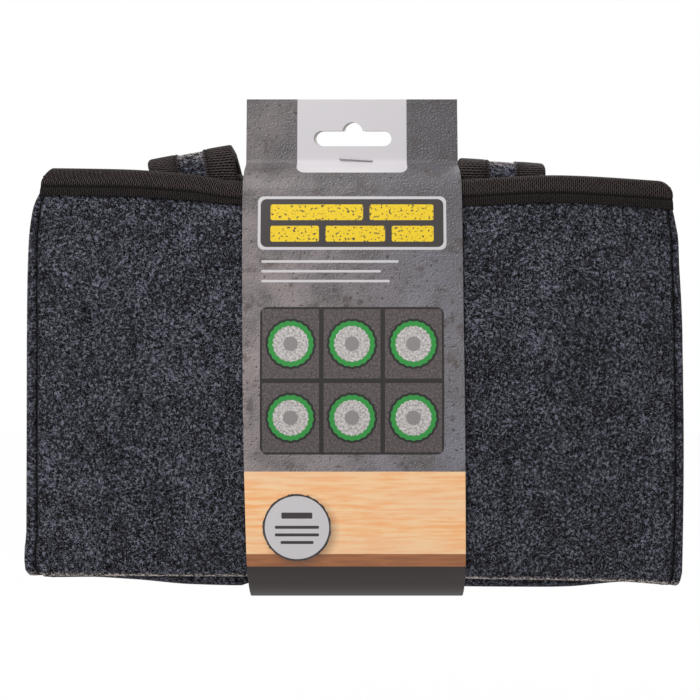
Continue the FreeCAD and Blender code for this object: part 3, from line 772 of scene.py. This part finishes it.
def felt_wrap():
    """Front wall, base folded up to a crease between the walls, and back wall."""
    knee, crest = LIP * KNEE_SHARE, LIP * CREST_SHARE
    front = [(-WALL, FRONT_TOP), (-WALL, FRONT_LOW), (-LIP, FRONT_LOW), (-knee, BASE_KNEE)]
    back = [(knee, BASE_KNEE), (LIP, BACK_LOW), (WALL, BACK_LOW), (WALL, BACK_TOP)]
    crease = [(-crest, BASE_CREASE), (crest, BASE_CREASE)]
    path = bend(front + crease + back, FELT_BEND, ROW_STEP)
    path, row_edge = with_edges(path, EDGE)
    columns, column_edge = column_shares(2 * HALF_WIDTH, EDGE, COLUMN_STEP, FINE_STEP, FINE_BAND)
    y, z = path[:, :1], path[:, 1:]
    share = 2 * columns[None, :] - 1
    front = y < 0
    is_wall = np.abs(y) > (WALL + LIP) / 2
    low, top = wall_ends(front)
    height, base_height = height_share(z, low, top), height_share(z, low, BASE_CREASE)
    base_half = BASE_HALF + (CREST_HALF - BASE_HALF) * base_height
    x = np.where(is_wall, wall_x(share, height), share * base_half)
    from_edge = np.abs(wall_x(np.sign(share), height) - x)
    inset = np.where(share < 0, LEFT_SEAM_INSET, RIGHT_SEAM_INSET) * seam_inset(height)
    seam = hump(from_edge - inset, SEAM_WIDTH) * is_wall
    wall = wall_place(x, z, front, np.abs(y) - WALL - seam * SEAM_DEPTH / 2)
    base = grid(x, MIDDLE + y, z + fold_sway(share, front) * (1 - base_height) ** 2)
    middle = np.where(is_wall[..., None], wall, base)
    half = FELT / 2 * np.outer(row_edge, column_edge) - seam * SEAM_DEPTH / 2
    worn = FOLD_PALE * clamp(1 - (z - FRONT_LOW) / FOLD_WEAR) * front
    frayed = FRAYED_PALE * clamp(1 - from_edge / FRAYED) * is_wall
    marks = {"shade": clamp(SEAM_SHADE * seam), "wear": np.maximum(worn, frayed)}
    made = slab("felt_wrap_cloth", middle, np.maximum(half, 0), [felt], marks)
    length = run_lengths(path)[-1]
    area = 2 * np.trapz(np.mean(np.abs(x[:, [0, -1]]), axis=1), run_lengths(path))
    return made


# Gussets: felt folded inward between the walls, with tape over the rim

SEAM_MARGIN = 3.5 * MM
KNEE_MARGIN = 3 * MM
SEAM_PLACE = gusset_high[0] - SEAM_MARGIN
KNEE_PLACE = SEAM_PLACE - KNEE_MARGIN
FLAT_PLACE = 85 * MM
CREASE_PLACE = gusset_low[0] + FELT / 2
MITRE_LOW = 12.3 * MM
MITRE_HIGH = 87.4 * MM
MITRE_IN = 44 * MM
MITRE_OUT = 126 * MM
GUSSET_TAPE = 11 * MM


def gusset_path(start):
    """The fold seen from above, from its front edge to its crease and home to its back edge."""
    out = [(start, LIP), (SEAM_PLACE, LIP), (KNEE_PLACE, LIP * KNEE_SHARE), (FLAT_PLACE, LIP * CREST_SHARE)]
    crease = (CREASE_PLACE, LIP * CREST_SHARE)
    front = [(x, -y) for x, y in out + [crease]]
    return bend(front + [crease] + out[::-1], FELT_BEND, ROW_STEP)


def upright_slab(name, path, sign, low, high, thickness, materials, inset=0):
    """A folded strip standing on edge: its plan is the path, between a low and a high edge at each point."""
    plan, row_edge = with_edges(path, EDGE)
    columns, column_edge = column_shares(float(np.mean(high - low(plan[:, 0]))), EDGE, ROW_STEP)
    foot = low(plan[:, :1])
    z = foot + (high - foot) * columns[None, :]
    middle = grid(sign * plan[:, :1], MIDDLE + plan[:, 1:] * (1 - inset), z)
    return slab(name, middle, thickness / 2 * np.outer(row_edge, column_edge), materials)


def mitre_foot(x):
    """Lower edge of a gusset, cut to the base's slant."""
    share = clamp((MITRE_OUT - x) / (MITRE_OUT - MITRE_IN))
    return MITRE_LOW + (MITRE_HIGH - MITRE_LOW) * share


def level_foot(height):
    return lambda x: np.full_like(x, height)


def gusset(side, sign):
    path = gusset_path(gusset_high[0])
    top = gusset_tape_high[2] - GUSSET_TAPE
    cloth = upright_slab(f"{side}_gusset_cloth", path, sign, mitre_foot, top, FELT, [felt])
    length = run_lengths(path)[-1]
    area = np.trapz(top - mitre_foot(path[:, 0]), run_lengths(path))
    path, foot = gusset_path(SEAM_PLACE + EDGE), level_foot(top - TAPE)
    tape = upright_slab(
        f"{side}_gusset_tape", path, sign, foot, gusset_tape_high[2], FELT + TAPE, [rim_tape], TAPE / 2 / LIP
    )
    return cloth, tape


# Dividers: the long one against the front wall, the cross ones pleated behind it

PLEATS = 4
THIN_BEND = THIN_FELT / 2.1


def divider(name, plan, sign, low, high):
    """A divider standing between two heights."""
    made = upright_slab(f"{name}_cloth", plan, sign, level_foot(low), high, THIN_FELT, [thin_felt])
    run_lengths(plan)[-1]
    return made


def long_divider():
    depth = divider_low[1] - MIDDLE + THIN_FELT / 2
    plan = divide(np.array([(divider_low[0], depth), (divider_high[0], depth)]), ROW_STEP)
    return divider("long_divider", plan, 1, divider_low[2], divider_high[2])


def cross_divider(side, sign):
    (near, first), (far, last) = cross_low[:2] + THIN_FELT / 2, cross_high[:2] - THIN_FELT / 2
    plan = []
    for depth in np.linspace(first - MIDDLE, last - MIDDLE, PLEATS):
        plan += [(near, depth), (far, depth)]
        near, far = far, near
    plan = bend(plan, THIN_BEND, ROW_STEP)
    return divider(f"{side}_cross_divider", plan, sign, cross_low[2], cross_high[2])


# Rim tapes: folded over the walls' upper edges

RIM_LEG = front_tape_high[2] - front_tape_low[2]
RIM_STITCH = 7.4 * MM
RIM_END_ROUND = 5.7 * MM
STRAP_ROOM = 0.2 * MM
SHORT_LEG_SHARE = 0.1
RIM_TURN = (FELT + TAPE) / 2
RIM_POINTS = 9
FOOT_SHADE = 0.58
MOUTH_HALF = 40 * MM
THREAD = 0.28 * MM
STITCH_PITCH = 2.7 * MM
STITCH_LENGTH = 2.4 * MM
STITCH_SIDES = 6
# Place along a stitch, then the share of the thread's thickness
STITCH_SHARES = ((-0.5, 0.35), (-0.36, 0.9), (0, 1), (0.36, 0.9), (0.5, 0.35))


tape_left = smooth_table(TAPE_LEFT_SHARES)
tape_right = smooth_table(TAPE_RIGHT_SHARES)
tape_leg = smooth_table(TAPE_LEG_SHARES)


def rim_section():
    """Outer leg, turn over the rim and inner leg, as distance outward and height below the tape's top."""
    turn = np.linspace(0, math.pi, RIM_POINTS)
    arc = RIM_TURN * grid(np.cos(turn), np.sin(turn) - 1)
    return divide(np.concatenate([[(RIM_TURN, -RIM_LEG)], arc, [(-RIM_TURN, -RIM_LEG)]]), FINE_STEP)


def rim_tape_piece(side, sign, top):
    section, row_edge = with_edges(rim_section(), TAPE / 2)
    columns, column_edge = column_shares(2 * HALF_WIDTH, TAPE, COLUMN_STEP, FINE_STEP, FINE_BAND)
    out, rise = section[:, :1], section[:, 1:]
    share = 2 * columns[None, :] - 1
    reach = np.where(share < 0, tape_left(rise / RIM_LEG), tape_right(rise / RIM_LEG))
    x = HALF_WIDTH * share * reach
    rise = rise * tape_leg(share)
    from_end = HALF_WIDTH * (1 - share)
    cut = RIM_END_ROUND - np.sqrt(RIM_END_ROUND**2 - np.maximum(RIM_END_ROUND - from_end, 0) ** 2)
    rise = rise - cut * (1 + rise / RIM_LEG)
    inside = (out < 0) & (rise < -RIM_TURN)
    wide = np.abs(share) * HALF_WIDTH > MOUTH_HALF
    rise = np.where(inside & wide, SHORT_LEG_SHARE * (rise + RIM_TURN) - RIM_TURN, rise)
    at_strap = np.abs(np.abs(x) - STRAP_PLACE) < STRAP_HALF + FELT
    out = np.where(at_strap, np.maximum(out, STRAP_ROOM - (FELT - TAPE) / 2), out)
    middle = wall_place(x, top - TAPE / 2 + rise, sign < 0, out)
    seam = hump(rise + RIM_STITCH, SEAM_WIDTH) * (out > 0)
    foot_shade = FOOT_SHADE * clamp(-(rise + RIM_STITCH) / SEAM_WIDTH) * (out > 0)
    middle[..., 1] -= sign * seam * SEAM_DEPTH / 2
    half = TAPE / 2 * np.outer(row_edge, column_edge)
    made = slab(f"{side}_rim_tape", middle, half, [rim_tape], {"shade": np.maximum(seam, foot_shade)})
    end = HALF_WIDTH - 4 * STITCH_PITCH
    places = np.arange(-end, end, STITCH_PITCH)
    foot = np.full_like(places, top - TAPE / 2 - RIM_STITCH)
    line = wall_place(places, foot, sign < 0, FELT / 2 + TAPE - SEAM_DEPTH / 2)
    return made, stitch_row(f"{side}_rim_stitches", line)


def side_seam(side, sign):
    """The sewing that joins a wall to its two gussets."""
    low, top = wall_ends(sign < 0)
    z = np.arange(low + 2 * STITCH_PITCH, top - RIM_LEG, STITCH_PITCH)
    height = height_share(z, low, top)
    lines = []
    for edge, inset in ((-1, LEFT_SEAM_INSET), (1, RIGHT_SEAM_INSET)):
        x = wall_x(np.full_like(z, edge), height) - edge * inset * seam_inset(height)
        lines.append(wall_place(x, z, sign < 0, FELT / 2 - SEAM_DEPTH))
    return stitch_row(f"{side}_seam_stitches", *lines)


def stitch_row(name, *lines):
    """Short threads laid end to end along lines of points, as one mesh."""
    turns = np.linspace(0, 2 * math.pi, STITCH_SIDES, endpoint=False)
    stitch_faces = tube_faces(len(STITCH_SHARES), STITCH_SIDES)
    vertices, faces = [], []
    for line in lines:
        for point, ahead in zip(line, directions(line)):
            beside = unit(np.cross(ahead, (0, 1, 0)))
            above = np.cross(beside, ahead)
            faces += [tuple(len(vertices) + k for k in face) for face in stitch_faces]
            ring = np.outer(np.cos(turns), beside) + np.outer(np.sin(turns), above)
            for place, width in STITCH_SHARES:
                vertices.extend(point + ahead * place * STITCH_LENGTH + ring * width * THREAD)
    return mesh_object(name, vertices, faces, np.array(vertices)[:, [0, 2]], [thread])


# Handles: felt straps with tape round both edges

STRAP_WIDTH_SHARE = 0.95
STRAP_HALF = STRAP_WIDTH_SHARE * (sewn_high[0] - sewn_low[0]) / 2
STRAP_PLACE = (sewn_high[0] + sewn_low[0]) / 2
SECTION_SHARES = (
    (0, 0.74), (0.15, 0.73), (0.285, 0.7), (0.3, 0.93), (0.325, 1), (0.35, 1), (0.37, 0.86),
    (0.39, 1), (0.6, 1.02), (0.8, 1), (0.93, 0.98), (0.975, 0.8), (1, 0.4),
)
FELT_ZONE_SHARE = 0.293
STITCH_SHARE = 0.37
STITCH_WIDTH_SHARE = 0.018
STITCH_SHADE = 0.9
LOOP_STEP = 3 * MM
FOLD_STEP_FINE = 1.2 * MM
FOLD_ROUND = 6.5 * MM
CREST_WEAR = 3 * MM
CREST_PALE = 0.9
# Lift of the crest, turn of its inner end and shifts sideways, for each fold that lies askew
FOLD_LIFTS = {"front_left": 2.7 * MM, "front_right": -0.8 * MM}
FOLD_TURNS = {"front_left": 10.5, "front_right": 3.8}
RIM_SHIFTS = {"front_left": -0.5 * MM, "front_right": -2.4 * MM}
CREST_SHIFTS = {"front_left": -2.8 * MM, "front_right": 0.6 * MM}
FOLD_EASE = 0.3
RIM_EASE = 0.06
FOLD_WIDTH_DIVISOR = 2.02
FOLD_HEIGHT_SHARE = 0.98
END_ROWS = 8


def strap_outline():
    """Closed outline of a strap's section, with the material of each side and the shade at each point."""
    quarter = np.array(SECTION_SHARES)
    upper = np.concatenate([quarter[:0:-1] * (-1, 1), quarter])
    outline = np.concatenate([upper, upper[::-1] * (1, -1)])
    following = np.roll(outline, -1, axis=0)
    zones = (np.abs(outline[:, 0] + following[:, 0]) / 2 > FELT_ZONE_SHARE).astype(int)
    shade = STITCH_SHADE * hump(np.abs(outline[:, 0]) - STITCH_SHARE, STITCH_WIDTH_SHARE)
    return outline * (STRAP_HALF, STRAP / 2), zones, shade


def strap_piece(name, centre, across, out, wear=0):
    outline, zones, shade = strap_outline()
    worn = np.broadcast_to(wear, len(centre))
    marks = {"shade": np.tile(shade, len(centre)), "wear": np.repeat(worn, len(outline))}
    return sweep(name, centre, across, out, outline, [felt, strap_tape], zones, marks)


def loop_piece(side):
    """The long loop of a handle, from one side of the mouth down and back up."""
    low, high = corners(f"{side}_handle_felt")
    tape_low, _ = corners(f"{side}_handle_outer_tape")
    y = (low[1] + high[1]) / 2
    top = high[2]
    turn_height = tape_low[2] + STRAP_HALF + STRAP_PLACE
    sweep_count = math.ceil(math.pi * STRAP_PLACE / LOOP_STEP)
    turns = np.linspace(math.pi, 2 * math.pi, sweep_count)
    arc = grid(STRAP_PLACE * np.cos(turns), turn_height + STRAP_PLACE * np.sin(turns))
    plan = divide(np.concatenate([[(-STRAP_PLACE, top)], arc, [(STRAP_PLACE, top)]]), LOOP_STEP)
    ahead = directions(plan)
    centre = grid(plan[:, 0], y, plan[:, 1])
    across = grid(ahead[:, 1], 0, -ahead[:, 0])
    out = np.broadcast_to((0.0, 1.0, 0.0), centre.shape)
    return strap_piece(f"{side}_loop_strap", centre, across, out)


def end_piece(side, end, sign):
    """A strap end sewn flat inside the mouth."""
    low, high = corners(f"{side}_handle_{end}_end")
    z = np.linspace(low[2], high[2], END_ROWS)
    centre = grid(sign * STRAP_PLACE, (low[1] + high[1]) / 2, z)
    across = np.broadcast_to((1.0, 0.0, 0.0), centre.shape)
    out = np.broadcast_to((0.0, -1.0, 0.0), centre.shape)
    return strap_piece(f"{side}_{end}_sewn_strap", centre, across, out)


def fold_pieces(side, end, sign):
    """The strap's fold over the mouth in two quarters, one from the carrier's side up to the crest and one
    from the crest to the handle.
    """
    key = f"{side}_{end}"
    low, high = corners(f"{side}_handle_{end}_fold")
    foot = corners(f"{side}_handle_{end}_end")[1][2]
    loop_top = corners(f"{side}_handle_felt")[1][2]
    first_y, last_y = low[1] + STRAP / 2, high[1] - STRAP / 2
    crest_z = high[2] - STRAP / 2
    radius = min(FOLD_ROUND, (last_y - first_y) / FOLD_WIDTH_DIVISOR, (crest_z - foot) * FOLD_HEIGHT_SHARE)
    line = [(first_y, foot), (first_y, crest_z), (last_y, crest_z), (last_y, loop_top)]
    plan = bend(line, radius, FOLD_STEP_FINE, arc_points=10)
    run = run_lengths(plan)
    crest = int(np.argmin(np.abs(run - run[-1] / 2)))
    from_end = np.minimum(run, run[-1] - run) / run[-1]
    weight = ease(from_end / FOLD_EASE)
    ahead = directions(plan)
    x = sign * STRAP_PLACE + CREST_SHIFTS.get(key, 0) * weight
    x = x + RIM_SHIFTS.get(key, 0) * ease(from_end / RIM_EASE)
    centre = grid(x, plan[:, 0], plan[:, 1] + FOLD_LIFTS.get(key, 0) * weight)
    turn = -sign * np.radians(FOLD_TURNS.get(key, 0)) * weight
    across = grid(np.cos(turn), 0, np.sin(turn))
    out = grid(0, -ahead[:, 1], ahead[:, 0])
    wear = CREST_PALE * clamp(1 - (crest_z - plan[:, 1]) / CREST_WEAR)
    start, middle, stop = centre[0], centre[crest], centre[-1]
    halves = (
        ("near", slice(0, crest + 1), start, 2 * middle - start),
        ("far", slice(crest, None), 2 * middle - stop, stop),
    )
    for half, rows, first, last in halves:
        piece = strap_piece(f"{key}_{half}_fold", centre[rows], across[rows], out[rows], wear[rows])
        tuple(first)
        tuple(last)
        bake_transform(piece)
        yield piece


# Card sleeve with its hanging slot, and the staple through its header

CARD = 0.5 * MM
LAYER = 0.6 * CARD
NECK = 177.8 * MM
SHOULDER = 171 * MM
BACK_SHOULDER = 169 * MM
HEM = 7 * MM
BACK_HEM = 6 * MM
CARD_GAP = 0.4 * MM
NECK_ROUND = 4 * MM
SHOULDER_ROUND = 11 * MM
HEM_ROUND = 20 * MM
BACK_ROUND = 6 * MM
BACK_HEM_ROUND = 2 * MM
HEADER_LEAN = 2.5 * MM
HEADER_RISE = 0.9 * MM
HEADER_TOP = SLEEVE_HEIGHT + HEADER_RISE
CREASE_ROUND = 1.2 * MM
SLOT_HALF = 16 * MM
SLOT_TALL = 6.4 * MM
SLOT_HEIGHT = 188.3 * MM
NOTCH_ROUND = 4.2 * MM
NOTCH_HEIGHT = 191 * MM
SLOT_POINTS = 12
NOTCH_POINTS = 16
FRONT_SLOT_SHIFT = 0.3 * MM
BACK_SLOT_SHIFT = 1.4 * MM
CARD_LEAN = 2 * MM
SHARP = math.radians(40)


def card_sleeve():
    back = sleeve_high[1] - CARD / 2 - MIDDLE
    front = -back - CARD_GAP
    line = [
        (HEADER_LEAN - LAYER, HEADER_TOP), (-LAYER, NECK), (front, SHOULDER), (front, HEM), (0, CARD / 2),
        (back, BACK_HEM), (back, BACK_SHOULDER), (LAYER, NECK), (HEADER_LEAN + LAYER, HEADER_TOP),
    ]
    radii = (NECK_ROUND, SHOULDER_ROUND, HEM_ROUND, CREASE_ROUND, BACK_HEM_ROUND, BACK_ROUND, BACK_ROUND)
    path, row_edge = with_edges(bend(line, radii, ROW_STEP), CARD / 2)
    columns, column_edge = column_shares(2 * SLEEVE_HALF, CARD / 2, ROW_STEP)
    y, z = path[:, :1], path[:, 1:]
    x = (2 * columns[None, :] - 1) * SLEEVE_HALF + CARD_LEAN * (1 - z / SLEEVE_HEIGHT) ** 2
    forward = swell(0, z) * clamp(y / front)
    middle = grid(x, MIDDLE + y - forward, z)
    half = CARD / 2 * np.outer(row_edge, column_edge)
    run = run_lengths(path)
    crease = run[np.argmin(z[:, 0])]
    face_run = (run[1:] + run[:-1]) / 2
    outside = np.where(face_run < crease, 0, 1)
    materials = [front_print, back_print, card]
    made = slab("card_sleeve_board", middle, half, materials, None, (outside, np.full_like(outside, 2)))
    cut_slot(made)
    return made


def slot_outline(shift):
    """Outline of the hanging slot: a round-ended bar with a round notch above its middle."""
    radius = SLOT_TALL / 2
    reach = SLOT_HALF - radius
    lean = math.asin((SLOT_HEIGHT + radius - NOTCH_HEIGHT) / NOTCH_ROUND)
    end = np.linspace(-math.pi / 2, math.pi / 2, SLOT_POINTS)
    top = np.linspace(lean, math.pi - lean, NOTCH_POINTS)
    right = grid(reach + radius * np.cos(end), SLOT_HEIGHT + radius * np.sin(end))
    notch = grid(NOTCH_ROUND * np.cos(top), NOTCH_HEIGHT + NOTCH_ROUND * np.sin(top))
    return np.concatenate([right, notch, right[::-1] * (-1, 1)]) + (shift, 0)


def header_lean(z):
    return HEADER_LEAN * (z - NECK) / (HEADER_TOP - NECK)


def cut_slot(made):
    """Cut both header layers, the rear one a little out of line as on a folded card."""
    for sign, shift in ((-1, FRONT_SLOT_SHIFT), (1, BACK_SLOT_SHIFT)):
        outline = slot_outline(shift)
        near, far = sorted((0, sign * 2 * LAYER))
        vertices = [(x, MIDDLE + y + header_lean(z), z) for y in (near, far) for x, z in outline]
        faces = tube_faces(2, len(outline))
        cutter = mesh_object("slot_cutter", vertices, faces, np.zeros((len(vertices), 2)), [card])
        cut = made.modifiers.new("slot", "BOOLEAN")
        cut.object = cutter
        cut.operation = "DIFFERENCE"
        cut.solver = "EXACT"
        cut.material_mode = "TRANSFER"
        evaluated = made.evaluated_get(bpy.context.evaluated_depsgraph_get())
        cut_mesh = bpy.data.meshes.new_from_object(evaluated)
        made.modifiers.clear()
        made.data = cut_mesh
        bpy.data.objects.remove(cutter)
    made.data.set_sharp_from_angle(angle=SHARP)


STAPLE_WIRE = 0.36 * MM
STAPLE_GAP = 0.15 * MM
STAPLE_LEFT = (-4.9 * MM, 179.8 * MM)
STAPLE_RIGHT = (8.1 * MM, 178.9 * MM)
STAPLE_BACK_SHARE = 0.3
STAPLE_FACE = 1.1 * CARD + STAPLE_WIRE + STAPLE_GAP
STAPLE_BEND = 0.8 * STAPLE_WIRE
STAPLE_STEP = 0.4 * MM
STAPLE_SIDES = 10


def staple():
    left, right = np.array(STAPLE_LEFT), np.array(STAPLE_RIGHT)
    inward = STAPLE_BACK_SHARE * (right - left)
    ends = [left + inward, left, left, right, right, right - inward]
    depths = STAPLE_FACE * np.array((1, 1, -1, -1, 1, 1))
    line = [(x, MIDDLE + depth, z) for (x, z), depth in zip(ends, depths)]
    centre = bend(line, STAPLE_BEND, STAPLE_STEP)
    ahead = directions(centre)
    across = np.broadcast_to((0.0, 0.0, 1.0), centre.shape)
    across = unit(across - ahead * np.sum(across * ahead, axis=1, keepdims=True))
    out = np.cross(ahead, across)
    turns = np.linspace(0, 2 * math.pi, STAPLE_SIDES, endpoint=False)
    section = STAPLE_WIRE * grid(np.cos(turns), np.sin(turns))
    return sweep("staple_wire_bent", centre, across, out, section, [wire])


# Pieces on their bodies

SIDES = (("left", -1), ("right", 1))


def settle(piece, body, slot, *nodes):
    """Seat a finished piece on its body and hide the solids it stands for; the slot, its finish, is not used.
    """
    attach(piece, body)
    if nodes:
        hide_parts(*nodes)


settle(felt_wrap(), "carrier", "felt", "felt_wrap")
for side, sign in SIDES:
    cloth, tape = gusset(side, sign)
    settle(cloth, "carrier", "felt", f"{side}_gusset")
    settle(tape, "carrier", "tape", f"{side}_gusset_binding")
settle(long_divider(), "carrier", "divider_felt", "long_divider")
for side, sign in SIDES:
    settle(cross_divider(side, sign), "carrier", "divider_felt", f"{side}_cross_divider")
for side, sign, top in (("front", -1, FRONT_RIM), ("back", 1, BACK_RIM)):
    tape, stitches = rim_tape_piece(side, sign, top)
    settle(tape, "carrier", "tape", f"{side}_rim_binding")
    settle(stitches, "carrier", "tape")
    settle(side_seam(side, sign), "carrier", "tape")
    loop_nodes = [f"{side}_handle_{part}" for part in ("felt", "inner_tape", "outer_tape")]
    settle(loop_piece(side), f"{side}_handle", "felt", *loop_nodes)
    for end, end_sign in SIDES:
        settle(end_piece(side, end, end_sign), "carrier", "felt", f"{side}_handle_{end}_end")
        for piece in fold_pieces(side, end, end_sign):
            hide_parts(f"{side}_handle_{end}_fold")
settle(card_sleeve(), "carrier", "card", "card_sleeve")
settle(staple(), "carrier", "wire", "sleeve_staple")


# Stage, light and camera

FLOOR_DEPTH = 100 * MM
FLOOR_SIZE = 4000 * MM
CAMERA_PLACE = (-0.8 * MM, MIDDLE - 400 * MM, 101.2 * MM)
LENS = 50
KEY_PLACE = (-420 * MM, -520 * MM, 900 * MM)
KEY_SIZE = 600 * MM
KEY_POWER = 9
BACK_PLACE = (380 * MM, 560 * MM, 780 * MM)
BACK_POWER = 6
WORLD_LIGHT = 0.38
WHITE = (1, 1, 1, 1)
FLOOR_SCALE = 3
FLOOR_WHITE = 0.98


def white_to_camera(tree, shaded, white, share=1):
    """White, by a share, where the camera, a reflection or a clear material sees it; shaded elsewhere."""
    path = tree.nodes.new("ShaderNodeLightPath")
    seen = path.outputs["Is Camera Ray"]
    for label in ("Is Glossy Ray", "Is Transmission Ray"):
        seen = add_node(tree, "Math", {0: seen, 1: path.outputs[label]}, operation="MAXIMUM")
    seen = add_node(tree, "Math", {0: seen, 1: share}, operation="MULTIPLY")
    return add_node(tree, "MixShader", {0: seen, 1: shaded, 2: white})


def studio_world():
    world = bpy.data.worlds.new("studio")
    world.use_nodes = True
    tree = world.node_tree
    light = tree.nodes["Background"]
    light.inputs["Color"].default_value = WHITE
    light.inputs["Strength"].default_value = WORLD_LIGHT
    seen = white_to_camera(tree, light.outputs[0], add_node(tree, "Background", {"Color": WHITE}))
    tree.links.new(seen, tree.nodes["World Output"].inputs["Surface"])
    bpy.context.scene.world = world


def studio_floor():
    half = FLOOR_SIZE / 2
    mesh = bpy.data.meshes.new("floor")
    square = [(-half, -half), (half, -half), (half, half), (-half, half)]
    mesh.from_pydata([(x, y, -FLOOR_DEPTH) for x, y in square], [], [(0, 1, 2, 3)])
    floor = add_object("floor", mesh)
    pale = Paint("pale_floor", Roughness=0.9)
    pale.tone = pale.mix(pale.noise(FLOOR_SCALE), srgb(222, 222, 222), srgb(228, 228, 228))
    pale.finish()
    seen = white_to_camera(pale.tree, pale.shader.outputs[0], pale.node("Emission", {}), FLOOR_WHITE)
    pale.tree.links.new(seen, pale.tree.nodes["Material Output"].inputs["Surface"])
    floor.data.materials.append(pale.material)
    floor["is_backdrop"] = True


def soft_light(name, place, power):
    lamp = bpy.data.lights.new(name, "AREA")
    lamp.size = KEY_SIZE
    lamp.energy = power
    made = add_object(name, lamp)
    made.location = place
    aim = np.array((0, 0, SLEEVE_HEIGHT / 2)) - np.array(place)
    made.rotation_euler = mathutils.Vector(aim).to_track_quat("-Z", "Y").to_euler()


def photo_camera():
    lens = bpy.data.cameras.new("photo")
    lens.lens = LENS
    made = add_object("photo", lens)
    made.location = CAMERA_PLACE
    made.rotation_euler = (math.pi / 2, 0, 0)
    bpy.context.scene.camera = made


studio_world()
studio_floor()
soft_light("key", KEY_PLACE, KEY_POWER)
soft_light("back", BACK_PLACE, BACK_POWER)
photo_camera()
bpy.context.scene.view_settings.view_transform = "Standard"

boxes = {"cad": cad_box, "visual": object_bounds()}
{label: [[float(v) for v in corner] for corner in box] for label, box in boxes.items()}
